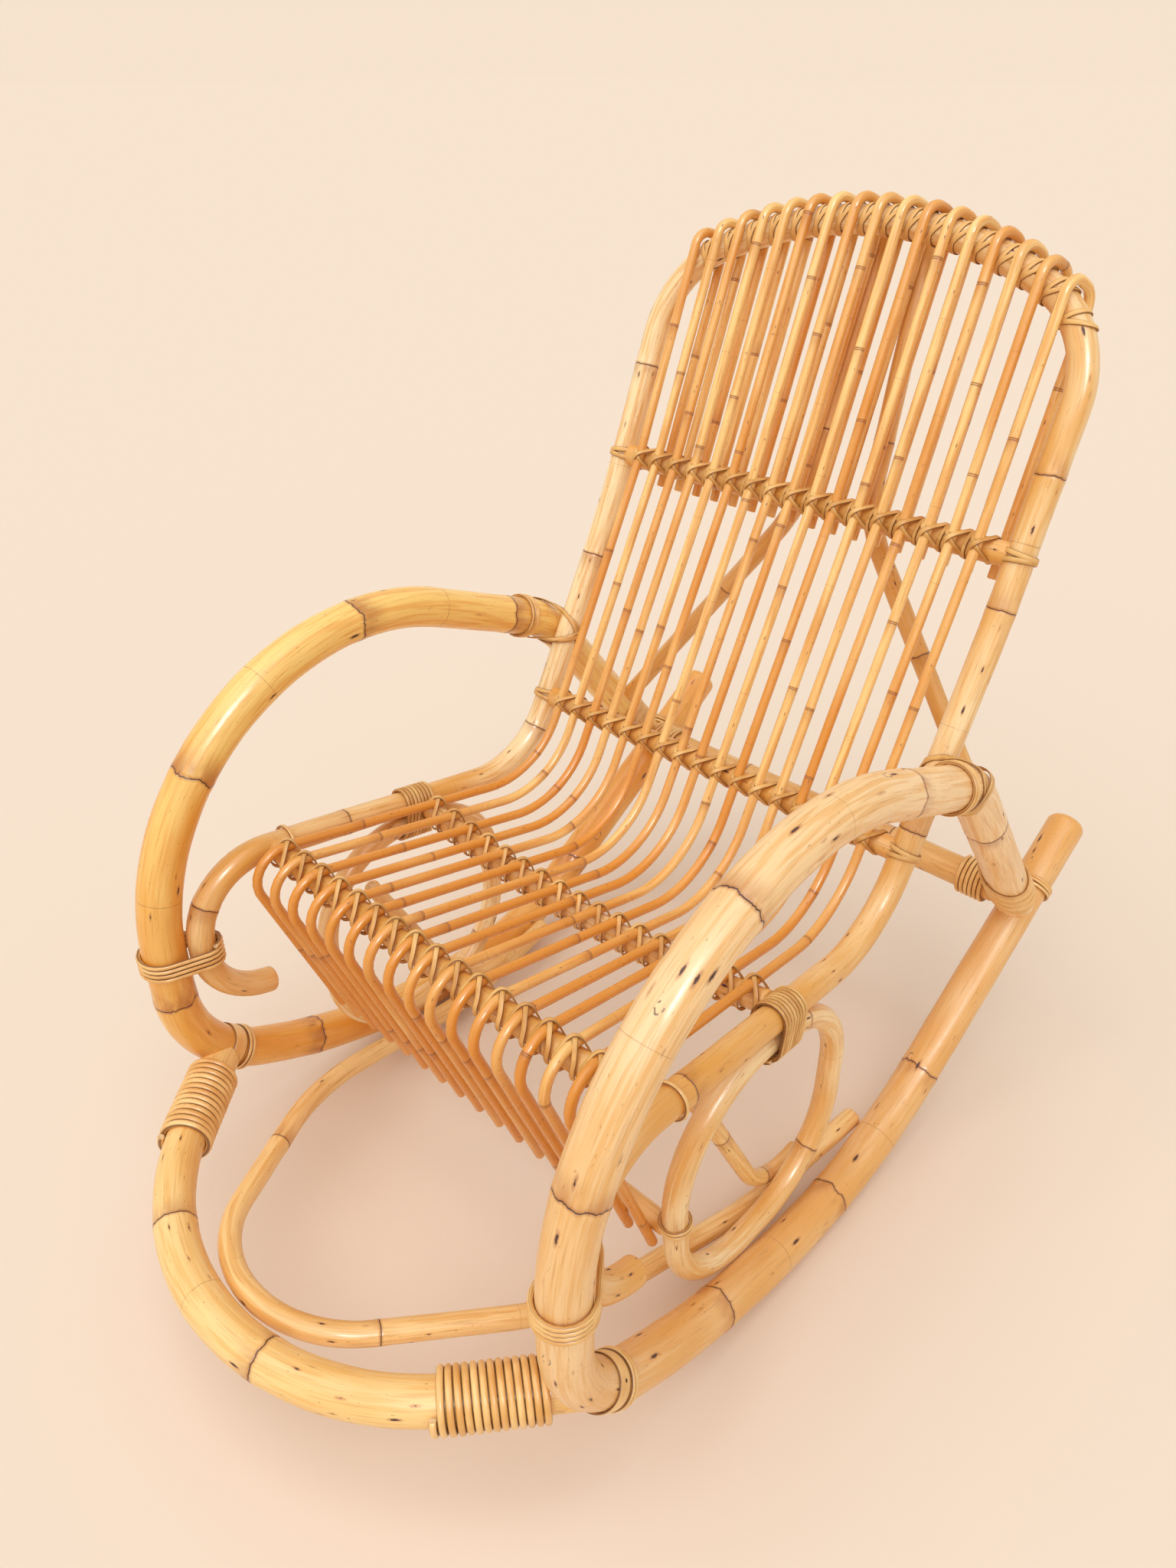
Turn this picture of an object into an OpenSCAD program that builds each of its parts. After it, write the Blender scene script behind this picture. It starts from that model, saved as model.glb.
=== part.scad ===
// Bamboo rocking chair of bent and lashed poles.
// The chair faces -Y and stands on z = 0. Inside the design Y runs back from the axis of the
// upright front of the arms, and every node is then shifted so that the outline is centred.
// A side profile is a list of [y, z] points; space() gives a profile point its x.

/* [Poles] */
// Diameter of the pole that is both arm and runner
arm_d = 44; // [38:1:48]
// Diameter of the pole round the seat and back
frame_d = 28; // [24:1:32]
// Diameter of the cross bars of the seat and back
bar_d = 24; // [20:1:26]
// Diameter of the low cross bar under the front of the seat
apron_d = 20; // [16:1:22]
// Diameter of each seat rod
rod_d = 10; // [8:1:12]
// Diameter of the side rings
ring_d = 24; // [18:1:26]
// Diameter of the curved stay inside each side ring
stay_d = 18; // [14:1:20]
// Diameter of the front stretcher
stretcher_d = 40; // [32:1:42]
// Diameter of the thin brace behind the stretcher
brace_d = 22; // [16:1:24]
// Diameter of the struts behind the back
strut_d = 21; // [16:1:24]
// Diameter of the rear cross bar
crossbar_d = 36; // [30:1:38]

/* [Arms and runners] */
// Width over the outsides of the arms
chair_w = 608; // [570:2:660]
// Distance of the lowest point of the runner behind the front of the arms, under the centre of mass
low_y = 388.3; // [380:1:396]
// Distance behind the front of the arms at which the front slope of the runner ends
front_slope_y = 234; // [225:1:240]
// Distance behind the front of the arms at which the rear slope of the runner starts
rear_slope_y = 496; // [490:1:505]
// Slope of the rear part of the runner
rear_rise = 32.8; // [31:0.2:35]
// Slope of the front part of the runner
front_rise = 27.5; // [25:0.5:29]
// Distance of the rear tip of the runner behind the front of the arms
tail_y = 886; // [860:2:920]
// Bend radius between runner and upright
toe_r = 150; // [120:5:160]
// Height of the axis of the arm at its top
arm_top = 567; // [550:1:580]
// Bend radius of the front of the arm
arm_bend_r = 280; // [260:5:290]
// Slope of the arm behind its top
arm_fall = 22; // [20:0.5:24]
// Distance of the rear bend of the arm behind the front of the arms
arm_back_y = 557; // [545:1:575]
// Slope of the rear end of the arm
arm_end_fall = 51; // [48:0.5:54]
// Bend radius of the rear bend of the arm
arm_back_r = 120; // [90:5:130]

/* [Seat and back] */
// Half the extra width of the seat frame at the front
splay = 19.6; // [12:0.2:24]
// Height of the axis of the seat frame at its front corner
seat_front_z = 383; // [370:1:395]
// Slope of the seat down to the rear
seat_tilt = 8.5; // [6:0.5:10]
// Distance of the corner of seat and back behind the front of the arms
seat_corner_y = 476; // [465:1:490]
// Slope of the lower back
back_rise = 61.9; // [60:0.5:64]
// Length of the lower back
back_lower = 329; // [310:1:345]
// Slope of the upper back
upper_rise = 67.5; // [66:0.5:70]
// Length of the upper back up to the corner of the arch
back_upper = 272; // [250:1:300]
// Bend radius of the front corners of the seat frame
nose_r = 78; // [70:1:82]
// Bend radius of the curled ends of the seat frame
curl_r = 82; // [74:1:90]
// Turn of the curled ends
curl_turn = 74; // [65:1:85]
// Bend radius between seat and back
seat_r = 110; // [90:2:112]
// Bend radius between lower and upper back
back_r = 900; // [600:50:1000]
// Bend radius of the shoulders of the arch
shoulder_r = 110; // [90:2:112]
// Bend radius of the crown of the arch
crown_r = 416; // [380:2:420]
// Slope of the arch between shoulder and crown
crown_rise = 24.1; // [22:0.5:26]

/* [Cross bars] */
// Distance of the front seat bar behind the front of the arms
front_bar_y = 128; // [120:1:140]
// Distance of the middle seat bar behind the front of the arms
mid_bar_y = 315; // [308:1:330]
// Sag of the front seat bar at its middle
front_bar_sag = 10; // [6:1:14]
// Sag of the middle seat bar at its middle
mid_bar_sag = 28; // [20:1:32]
// Distance of the lower back bar up the back from the seat corner
lower_bar_up = 94; // [92:1:120]
// Distance of the upper back bar above the bend of the back
upper_bar_up = 64; // [60:1:80]
// Height of the low front bar
apron_z = 168; // [150:1:190]
// Distance of the rear cross bar from the axis of the runner beyond touching it
crossbar_gap = 0.6; // [0.3:0.1:3]

/* [Rods] */
// Rods to each side of the middle one
rods_a_side = 8; // [6:1:8]
// Spacing of the rods at the back
rod_step = 26; // [24:0.5:27]
// Spacing of the rods at the front edge of the seat
rod_front_step = 29; // [27:0.5:30]
// Distance of the rod bend in front of the front seat bar
rod_nose = 54; // [52:1:60]
// Bend radius of the rods at the front edge
rod_nose_r = 27; // [20:1:27]
// Bend radius of the rods between seat and back
rod_seat_r = 100; // [80:5:110]
// Bend radius of the rods in front of the upper back bar
rod_back_r = 250; // [200:10:300]
// Bend radius of each rod over the arch
rod_hook_r = 17; // [14:0.5:18]
// Side step of each rod where it comes down behind the arch
rod_tail_x = 9; // [6:0.5:12]
// Length of each rod below the upper back bar, behind the back
rod_tail = 25; // [18:1:40]
// Length of each rod below the low front bar
rod_past = 22; // [14:1:30]

/* [Side rings and stays] */
// Distance of the upper front corner of a side ring behind the front of the arms
ring_y = 156; // [150:1:170]
// Length of a side ring
ring_w = 263; // [255:1:275]
// Lean of the front of a side ring
ring_lean = 5.6; // [3:0.2:7]
// Bend radius of the upper corners of a side ring
ring_top_r = 112; // [100:1:114]
// Bend radius of the lower corners of a side ring
ring_foot_r = 108; // [95:1:112]
// Slope of the front part of a stay
stay_rise = 62; // [58:0.5:66]
// Length of the front part of a stay from its corner
stay_len = 262; // [240:1:275]
// Bend radius of a stay
stay_r = 90; // [70:2:95]
// Distance of the corner of a stay behind the front of the arms
stay_y = 345; // [335:1:350]

/* [Stretcher brace and struts] */
// Height of the axis of the front stretcher
stretcher_z = 131; // [122:1:140]
// Bend radius of the front stretcher
stretcher_r = 270; // [250:5:280]
// Turn of each end of the front stretcher away from the middle
stretcher_turn = 50; // [46:0.5:52]
// Bend radius of the middle of the brace
brace_r = 120; // [100:5:130]
// Turn of each half of the brace away from the middle
brace_turn = 57; // [54:0.5:60]
// Length of each half of the brace from its middle corner to its side bend
brace_side_len = 367; // [340:1:380]
// Bend radius of the sides of the brace
brace_side_r = 300; // [250:10:350]
// Slope of the brace down from the stretcher
brace_fall = 13.1; // [12:0.1:14]
// Distance of the lowest point of the brace behind the front of the arms
brace_low_y = 340; // [330:1:350]
// Distance of the ends of the brace behind the front of the arms
brace_end_y = 506; // [490:1:520]
// Distance from the foot of the arm to the strut along the arm
strut_up = 127; // [120:1:140]
// Bend radius of the struts at the upper back bar
strut_bend_r = 150; // [100:10:200]

/* [Cane] */
// Diameter of the cane coiled on the stretcher
coil_d = 5.8; // [5:0.2:6]
// Open space between the turns of that coil along the middle of the stretcher
coil_gap = 1.2; // [1.1:0.1:1.6]
// Turns of that coil
coil_turns = 13; // [10:1:14]
// Distance of the first turn of that coil from the arm
coil_start = 46; // [44:1:50]
// Diameter of the cane coiled on the rear cross bar
rear_coil_d = 5; // [4:0.5:5.5]
// Turns of that coil
rear_coil_turns = 6; // [5:1:7]
// Distance of the first turn of that coil from the axis of the arm
rear_coil_in = 28; // [27:1:36]
// Diameter of the cane wrapped round the rail and the side ring
wrap_d = 4.2; // [3:0.2:5]
// Turns of that wrap
wrap_turns = 8; // [6:1:9]
// Distance of the middle of that wrap behind the front of the arms
wrap_y = 307; // [304:1:310]
// Slack of a wrap round two poles that bend apart
wrap_slack = 2.4; // [2:0.2:4]
// Height of the wrap that holds a curled end to the arm
curl_wrap_z = 283; // [276:1:290]
// Turns of that wrap
curl_turns = 4; // [3:1:5]
// Diameter of the cane wrapped round the foot of the arm
foot_cane_d = 3; // [2.4:0.2:3.6]
// Turns of that wrap
foot_turns = 8; // [6:1:9]
// Distance of the first turn of that wrap from the axis of the runner
foot_wrap_up = 46; // [44:1:50]
// How much further from the runner that wrap starts on the inside of the arm
foot_slant = 18; // [14:1:20]
// Distance of the last node ring of the arm from the axis of the runner
foot_knot_up = 100; // [95:1:105]
// Distance of the bands on the arm in front of its rear bend
arm_band_back = 42; // [38:1:60]
// Turn round the front bend of the runner at which its bands start
toe_band_turn = 50; // [44:1:52]
// Diameter of the cane in the ties and lashings
tie_d = 4; // [3:0.2:4.4]
// Width of the flat cane in the crossed lashings
strip_w = 4; // [3:0.2:4.2]
// Thickness of that cane
strip_t = 1.4; // [1:0.1:1.5]
// Angle of the crossed lashings from the line of the rods
lashing_a = 26; // [25:0.5:28]
// Open space between the turns of any other coil or wrap
turn_gap = 0.6; // [0.5:0.1:1.2]

/* [Joints] */
// Clearance between touching pieces
fit = 0.25; // [0.2:0.05:0.4]
// Height of the ring at each node of a pole
knot_h = 5; // [4:0.5:6]
// How far that ring stands out
knot_e = 0.4; // [0.3:0.05:0.5]

/* [Hidden] */
$fn = 48;
SIDES = ["left", "right"];
ROD_COUNT = 2 * rods_a_side + 1;
ROD_NAMES = [for (i = [1:ROD_COUNT]) str("rod_", i < 10 ? "0" : "", i)];
ONE_OFF = ["front_stretcher", "inner_brace", "seat_back_frame", "rear_crossbar", "upper_back_bar",
    "lower_back_bar", "mid_seat_bar", "front_seat_bar", "apron_bar", "upper_bar_lashings",
    "lower_bar_lashings", "mid_bar_lashings", "front_bar_lashings"];
PAIRED = ["arm_runner", "side_ring", "inner_stay", "back_strut", "stretcher_coil", "crossbar_coil",
    "rail_wrap", "curl_wrap", "arm_foot_wrap", "runner_strap", "arm_band", "apron_tie",
    "rail_band", "toe_band"];

arm_r = arm_d / 2;
frame_r = frame_d / 2;
bar_r = bar_d / 2;
apron_r = apron_d / 2;
rod_r = rod_d / 2;
ring_r = ring_d / 2;
stay_pole_r = stay_d / 2;
stretcher_pole_r = stretcher_d / 2;
brace_pole_r = brace_d / 2;
strut_r = strut_d / 2;
crossbar_r = crossbar_d / 2;
tie_r = tie_d / 2;
rod_knot_h = knot_h / 2.5;

// Directions, corners and distances

function unit(v) = v / norm(v);
function turn_of(a, b) = acos(max(-1, min(1, a * b)));
function reach(turn, r) = r * tan(turn / 2);
function space(q, x) = [x, q[0], q[1]];
function heading(a) = [cos(a), sin(a)];
function meet(p, d, q, e) = p + d * ((q - p) * [e[1], -e[0]]) / (d * [e[1], -e[0]]);
function mirrored(p) = [-p[0], p[1], p[2]];
function flip(points) = [for (i = [len(points) - 1:-1:0]) mirrored(points[i])];
// Distance between the axes of two poles that touch, where one may have a node ring
function touch(r1, r2) = r1 + r2 + knot_e + fit;
// Height of the axis of an arc below its ends, at x from its middle
function arc_drop(x, half, sag) = sag == 0 ? 0 : let (r = (half * half + sag * sag) / (2 * sag))
    sqrt(r * r - x * x) - sqrt(r * r - half * half);
function arc_slope(x, half, sag) = sag == 0 ? 0 : asin(x * 2 * sag / (half * half + sag * sag));

// Arm and runner

arm_x = chair_w / 2 - arm_r;
// The rocking curve is two arcs that meet at the lowest point
rear_corner = [rear_slope_y, arm_r];
front_corner = [front_slope_y, arm_r];
rocker_rear_r = (rear_slope_y - low_y) / tan(rear_rise / 2);
rocker_front_r = (low_y - front_slope_y) / tan(front_rise / 2);
rear_dir = heading(rear_rise);
front_dir = heading(180 - front_rise);
tail_end = rear_corner + rear_dir * (tail_y - rear_slope_y) / rear_dir[0];
toe_corner = meet(front_corner, front_dir, [0, 0], [0, 1]);
arm_corner = [0, arm_top - arm_bend_r + reach(90 + arm_fall, arm_bend_r)];
arm_dir = heading(-arm_fall);
arm_bend = arm_corner + arm_dir * arm_back_y / arm_dir[0];
foot_dir = heading(-arm_end_fall);
arm_foot = meet(arm_bend, foot_dir, rear_corner, rear_dir);
function runner_z(y) = let (r = y < low_y ? rocker_front_r : rocker_rear_r)
    arm_r + r - sqrt(r * r - (y - low_y) * (y - low_y));
function arm_up(s) = arm_foot - foot_dir * s;

// Seat frame

back_x = arm_x - touch(arm_r, frame_r);
front_x = back_x + splay;
curl_y = sqrt(pow(touch(arm_r, frame_r) + knot_e, 2) - pow(arm_x - front_x, 2));
nose_corner = [curl_y, seat_front_z];
seat_dir = heading(-seat_tilt);
curl_corner = nose_corner - [0, reach(90 + seat_tilt, nose_r) + reach(curl_turn, curl_r) + 2 * knot_h];
curl_end = curl_corner + heading(curl_turn - 90) * (reach(curl_turn, curl_r) + 2 * knot_h);
seat_corner = nose_corner + seat_dir * (seat_corner_y - curl_y) / seat_dir[0];
lower_dir = heading(back_rise);
upper_dir = heading(upper_rise);
back_corner = seat_corner + lower_dir * back_lower;
arch_corner = back_corner + upper_dir * back_upper;
arch_peak = arch_corner + upper_dir * back_x * tan(crown_rise);
upper_front = [-upper_dir[1], upper_dir[0]];
lower_front = [-lower_dir[1], lower_dir[0]];
frame_half = [space(curl_end, front_x), space(curl_corner, front_x), space(nose_corner, front_x),
    space(seat_corner, back_x), space(back_corner, back_x), space(arch_corner, back_x)];
function rail(y) = let (t = (y - curl_y) / (seat_corner_y - curl_y))
    space(nose_corner, front_x) * (1 - t) + space(seat_corner, back_x) * t;
rail_dir = unit(rail(seat_corner_y) - rail(curl_y));
rail_down = unit(cross(rail_dir, cross(rail_dir, [0, 0, 1])));
shoulder_reach = reach(90 - crown_rise, shoulder_r);
shoulder_x = back_x - shoulder_r;
crown_x = crown_r * sin(crown_rise);
// Height of the arch above its corner along the upper back, and its slope, at x
function arch_h(x) = abs(x) < crown_x
    ? back_x * tan(crown_rise) - crown_r / cos(crown_rise) + sqrt(crown_r * crown_r - x * x)
    : abs(x) < shoulder_x + shoulder_r * sin(crown_rise)
        ? (back_x - abs(x)) * tan(crown_rise)
        : sqrt(shoulder_r * shoulder_r - pow(abs(x) - shoulder_x, 2)) - shoulder_reach;
function arch_slope(x) = abs(x) < crown_x ? asin(abs(x) / crown_r)
    : abs(x) < shoulder_x + shoulder_r * sin(crown_rise) ? crown_rise
    : asin((abs(x) - shoulder_x) / shoulder_r);

// Bars

lower_bar = seat_corner + lower_dir * lower_bar_up;
upper_bar = back_corner + upper_dir * upper_bar_up;
front_bar = rail(front_bar_y);
mid_bar = rail(mid_bar_y);
function bar_at(bar, sag, x) = [bar[1], bar[2] - arc_drop(x, bar[0], sag)];
// Spacing of the rods where they are y behind the front of the arms
function step_at(y) = y > seat_corner_y ? rod_step
    : rod_step + (rod_front_step - rod_step) * (seat_corner_y - y) / (seat_corner_y - front_bar_y + rod_nose);
crossbar = arm_up((touch(arm_r, crossbar_r) + crossbar_gap) / sin(rear_rise + arm_end_fall));

// Side ring

ring_x = rail(wrap_y)[0];
ring_top_drop = touch(frame_r, ring_r) / cos(seat_tilt);
function under_rail(y) = [y, rail(y)[2] - ring_top_drop];
ring_upper = [under_rail(ring_y), under_rail(ring_y + ring_w)];
// Height of the bottom of the ring where its front lower bend, of axis y, rests on the runner
function ring_bottom(y) = let (
    off = sqrt(pow(touch(arm_r, ring_r), 2) - pow(arm_x - ring_x, 2)),
    inside = rocker_front_r - off - ring_foot_r)
    arm_r + rocker_front_r - ring_foot_r - sqrt(inside * inside - (low_y - y) * (low_y - y));
function ring_bend_y(z) = ring_y + (ring_upper[0][1] - z) * tan(ring_lean) + reach(90 - ring_lean, ring_foot_r);
ring_low_z = ring_bottom(ring_bend_y(ring_bottom(ring_bend_y(2 * arm_r))));
ring_front_y = ring_y + (ring_upper[0][1] - ring_low_z) * tan(ring_lean);
ring_points = [ring_upper[0], ring_upper[1], [ring_y + ring_w, ring_low_z], [ring_front_y, ring_low_z]];
ring_radii = [ring_top_r, ring_top_r, ring_foot_r, ring_foot_r];
ring_front_dir = heading(90 + ring_lean);
function ring_front(z) = ring_points[3] + ring_front_dir * (z - ring_low_z) / ring_front_dir[1];
apron = ring_front(apron_z);

// Front stretcher and brace

toe_mid = [toe_r, toe_corner[1] + reach(90 - front_rise, toe_r)];
stretcher_y = toe_r - sqrt(toe_r * toe_r - pow(toe_mid[1] - stretcher_z, 2));
toe_dir = unit([stretcher_z - toe_mid[1], toe_r - stretcher_y]);
stretcher_end = [arm_x, stretcher_y, stretcher_z];
stretcher_dir = [cos(stretcher_turn), sin(stretcher_turn), 0];
stretcher_corner = stretcher_end - stretcher_dir * arm_x / stretcher_dir[0];
stretcher_peak = stretcher_corner[1] + stretcher_r * (1 / cos(stretcher_turn) - 1);
stretcher_flat = norm(stretcher_end - stretcher_corner) - reach(2 * stretcher_turn, stretcher_r);
// Axis of the stretcher from the arm towards the middle, first straight and then round its bend
stretcher_axis = function (s) let (
    out = s + coil_start - stretcher_flat,
    a = stretcher_turn - max(0, out) / stretcher_r * 180 / PI,
    away = [sin(a), -cos(a), 0],
    d = [-cos(a), -sin(a), 0])
    [[0, stretcher_peak + stretcher_r, stretcher_z] + away * stretcher_r + d * min(0, out), away, [0, 0, 1], d];
brace_peak = stretcher_peak + touch(stretcher_pole_r, brace_pole_r);
brace_corner_y = brace_peak - brace_r * (1 / cos(brace_turn) - 1);
brace_x = arm_x - touch(arm_r, brace_pole_r);
brace_end = [brace_x, brace_end_y, runner_z(brace_end_y)];
brace_low_x = ring_x - touch(ring_r, brace_pole_r);
function brace_z(y) = stretcher_z - (y - brace_peak) * tan(brace_fall);
brace_low = [brace_low_x, brace_low_y, brace_z(brace_low_y)];
brace_side_y = brace_corner_y + brace_side_len * sin(brace_turn);
brace_side = [brace_side_len * cos(brace_turn), brace_side_y, brace_z(brace_side_y)];
brace_half = [brace_end, brace_low, brace_side];
brace_tail = unit([brace_end[1] - brace_low[1], brace_end[2] - brace_low[2]]);

// Stay

stay_x = ring_x - touch(ring_r, stay_pole_r);
stay_lift = touch(stay_pole_r, brace_pole_r);
stay_corner = [stay_y, brace_low[2] + (stay_y - brace_low_y) * brace_tail[1] / brace_tail[0] + stay_lift];
stay_turn = stay_rise + atan2(brace_tail[1], brace_tail[0]);
stay_top = stay_corner + heading(180 - stay_rise) * stay_len;
stay_end = stay_corner + brace_tail * (reach(stay_turn, stay_r) + 2 * knot_h);

// Crossed lashings

rod_off = bar_r + rod_r + fit;
// Least radius inside a flat loop round a pole that crosses the plane of the loop at angle b,
// where the axis of the pole is c from the middle of the loop
function clear_r(c, pole_r, b) = max([for (a = [0:3:90])
    norm([c + pole_r * cos(a), pole_r / sin(b) * sin(a) + strip_w / 2 / tan(b)])]);
inner_loop_r = 2 * fit + max(clear_r(rod_off - rod_r, rod_r, lashing_a), clear_r(rod_r, bar_r, 90 - lashing_a));
outer_loop_r = inner_loop_r + strip_t + fit;

// Rods

tail_off = outer_loop_r + strip_t + fit;
arch_off = frame_r + rod_r + knot_e + 2 * fit;
// Where the rod lies on a bar of the seat, in the direction n out of the seat
function on_bar(bar, sag, x, n) =
    space(bar_at(bar, sag, x) + n * rod_off / cos(arc_slope(x, bar[0], sag)), x);
function arch_top(x) = arch_corner + upper_dir * (arch_h(x) + arch_off / cos(arch_slope(x)));
function rod_points(k) = let (
    back_at = k * rod_step,
    front_at = k * step_at(front_bar_y),
    mid_at = k * step_at(mid_bar_y),
    chord = unit(bar_at(mid_bar, mid_bar_sag, mid_at) - bar_at(front_bar, front_bar_sag, front_at)),
    front_top = on_bar(front_bar, front_bar_sag, front_at, [-chord[1], chord[0]]),
    mid_top = on_bar(mid_bar, mid_bar_sag, mid_at, [-chord[1], chord[0]]),
    front = [front_top[1], front_top[2]],
    along_seat = unit([mid_top[1], mid_top[2]] - front),
    along_back = unit(upper_bar - lower_bar),
    back_front = [-along_back[1], along_back[0]] * rod_off,
    corner = meet(front, along_seat, upper_bar + back_front, along_back),
    nose = front - along_seat * rod_nose,
    down = apron - nose,
    down_a = atan2(down[1], down[0]) - asin((apron_r + rod_r + fit) / norm(down)),
    down_len = sqrt(norm(down) * norm(down) - pow(apron_r + rod_r + fit, 2)),
    tail_from = upper_bar - upper_front * tail_off,
    tail_top = arch_top(back_at + rod_tail_x) - upper_front * arch_off,
    tail_dir = unit(tail_from - tail_top))
    [space(tail_from + tail_dir * rod_tail, back_at + rod_tail_x),
     space(tail_top, back_at + rod_tail_x),
     space(arch_top(back_at) + upper_front * arch_off, back_at),
     space(upper_bar + back_front, back_at),
     space(corner, k * step_at(corner[0])),
     space(nose, k * step_at(nose[0])),
     space(nose + heading(down_a) * (down_len + rod_past), k * step_at(nose[0]))];
// Point of rod k between two of its corners at y, and its direction there
function held_between(k, upper, lower, y) = let (q = rod_points(k), d = q[upper] - q[lower])
    [q[lower] + d * (y - q[lower][1]) / d[1], unit(d)];
// The bars as their rods see them: the rod's point on the bar, and its direction
at_upper_bar = function (k) let (q = rod_points(k)) [q[3], unit(unit(q[2] - q[3]) + unit(q[3] - q[4]))];
at_lower_bar = function (k) held_between(k, 3, 4, lower_bar[0] - rod_off * sin(back_rise));
at_mid_bar = function (k) held_between(k, 4, 5, mid_bar_y);
at_front_bar = function (k) held_between(k, 4, 5, front_bar_y);
rod_radii = [0, rod_hook_r, rod_hook_r, rod_back_r, rod_seat_r, rod_nose_r, 0];

// Struts

strut_top_x = [rod_step + rod_tail_x, -rod_step + rod_tail_x];
strut_bar_x = [2 * rod_step + rod_tail_x, -rod_step + rod_tail_x];
strut_foot = space(arm_up(strut_up), arm_x);
function strut_points(i) = let (
    behind = rod_r + strut_r + knot_e + fit,
    peak = arch_corner + upper_dir * arch_h(strut_top_x[i]) - upper_front * (arch_off + behind),
    bar = upper_bar - upper_front * (tail_off + behind))
    [space(peak, strut_top_x[i]), space(bar, strut_bar_x[i]), i == 0 ? strut_foot : mirrored(strut_foot)];

front_edge = stretcher_peak - stretcher_pole_r;
back_edge = tail_y + arm_r * sin(rear_rise);
mid_y = (front_edge + back_edge) / 2;

// Pole parts

module along(d) {
    rotate([0, acos(d[2] / norm(d)), atan2(d[1], d[0])]) children();
}

module frame_of(p, x, y) {
    z = cross(x, y);
    multmatrix([[x[0], y[0], z[0], p[0]], [x[1], y[1], z[1], p[1]], [x[2], y[2], z[2], p[2]]]) children();
}

// Round bend at corner p from direction a to direction b, trimmed at both ends
module bend(p, a, b, r, pole_r, trim) {
    turn = turn_of(a, b);
    centre = p + unit(b - a) * r / cos(turn / 2);
    skip = trim / r * 180 / PI;
    frame_of(centre, unit(p - a * reach(turn, r) - centre), a)
        rotate(skip) rotate_extrude(angle = turn - 2 * skip) translate([r, 0]) circle(pole_r);
}

// Node ring of a pole
module knot(p, d, h, pole_r) {
    translate(p - d * h / 2) along(d) cylinder(h = h, r = pole_r + knot_e);
}

// Straight pole from p to q
module straight(p, q, pole_r) {
    translate(p) along(q - p) cylinder(h = norm(q - p), r = pole_r);
}

// Pole along a list of points, bent at each inner one, with a node ring at both ends of each bend.
// Two bends that meet have a shallow groove between them instead.
module bent_pole(points, radii, pole_r, h = knot_h, closed = false) {
    n = len(points);
    legs = closed ? n : n - 1;
    dirs = [for (i = [0:legs - 1]) unit(points[(i + 1) % n] - points[i])];
    cut = [for (i = [0:n - 1])
        radii[i] == 0 ? 0 : reach(turn_of(dirs[(i + legs - 1) % legs], dirs[i % legs]), radii[i])];
    trim = h / 8;
    for (i = [0:legs - 1]) {
        j = (i + 1) % n;
        d = dirs[i];
        from = points[i] + d * cut[i];
        to = points[j] - d * cut[j];
        if ((to - from) * d < h) {
            straight((from + to) / 2 - d * h / 2, (from + to) / 2 + d * h / 2, pole_r - knot_e);
        } else {
            straight(from + d * (radii[i] > 0 ? trim : 0), to - d * (radii[j] > 0 ? trim : 0), pole_r);
            if (radii[i] > 0) knot(from, d, h, pole_r);
            if (radii[j] > 0) knot(to, d, h, pole_r);
        }
        if (radii[j] > 0) bend(points[j], d, dirs[j % legs], radii[j], pole_r, trim);
    }
}

// Round of another pole at p, to cut the end of a pole to its shape
module cope(p, d, pole_r) {
    translate(p) along(d) cylinder(h = 6 * pole_r, r = pole_r + knot_e + fit, center = true);
}

// Nodes are drawn for the left, and the right ones are their mirror image
module on_side(side) {
    mirror([side == "left" ? 0 : 1, 0, 0]) children();
}

// Every node is shifted so that the outline is centred
module set_down() {
    translate([0, -mid_y, 0]) children();
}

// Bar along the whole arc from side to side
module sagged_bar(p, sag, pole_r) {
    arc_r = (p[0] * p[0] + sag * sag) / (2 * sag);
    turn = 2 * asin(p[0] / arc_r);
    translate([0, p[1], p[2] - sag + arc_r]) rotate([90, 0, 0])
        rotate(-90 - turn / 2) rotate_extrude(angle = turn, $fn = 360) translate([arc_r, 0]) circle(pole_r, $fn = 48);
}

// Bar between two side poles that meet it at p and run in direction d; side_r is the radius of
// what it butts against
module coped_bar(p, d, sag, pole_r, side_r, drops = [[0, 0, 0]]) {
    difference() {
        if (sag > 0) sagged_bar(p, sag, pole_r);
        else straight([-p[0], p[1], p[2]], p, pole_r);
        for (side = SIDES) for (drop = drops) on_side(side) cope(p + drop, d, side_r);
    }
}

// Cane parts

// Outline of cane round one pole, or round two whose axes lie 2 * half apart, the slimmer one ahead
function loop_at(a, half, slim, stout) = cos(a) > 0.01
    ? [half + slim * cos(a), slim * sin(a)]
    : [-half + stout * cos(a), stout * sin(a)];

// Where the pole runs that cane is wound on: its point at s, two directions across it, and its own
function straight_axis(base, u, v, d) = function (s) [base + d * s, u, v, d];

// Points of wound cane with the directions of its section: [point, away from the pole, along it]
function wound(axis, turns, steps, cane, gap, half, slim, stout, slant) =
    let (pitch = cane + gap,
         wind = [for (i = [0:turns * steps]) let (
             a = i * 360 / steps,
             q = loop_at(a, half, slim, stout),
             at = axis(pitch * i / steps))
             [at[0] + at[1] * q[0] + at[2] * q[1] + at[3] * slant * cos(a),
              at[1] * cos(a) + at[2] * sin(a), at[3]]],
         last = wind[len(wind) - 1],
         first_end = wind[0][0] + unit(wind[0][0] - wind[1][0]) * cane,
         last_end = last[0] + unit(last[0] - wind[len(wind) - 2][0]) * cane)
    concat([[first_end, wind[0][1], wind[0][2]]], wind, [[last_end, last[1], last[2]]]);

// Radius of the axis of wound cane, clear of the pole midway between its own corners
function lay(pole_r, cane, steps) = (pole_r + knot_e + fit + cane / 2) / cos(180 / steps);

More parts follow.
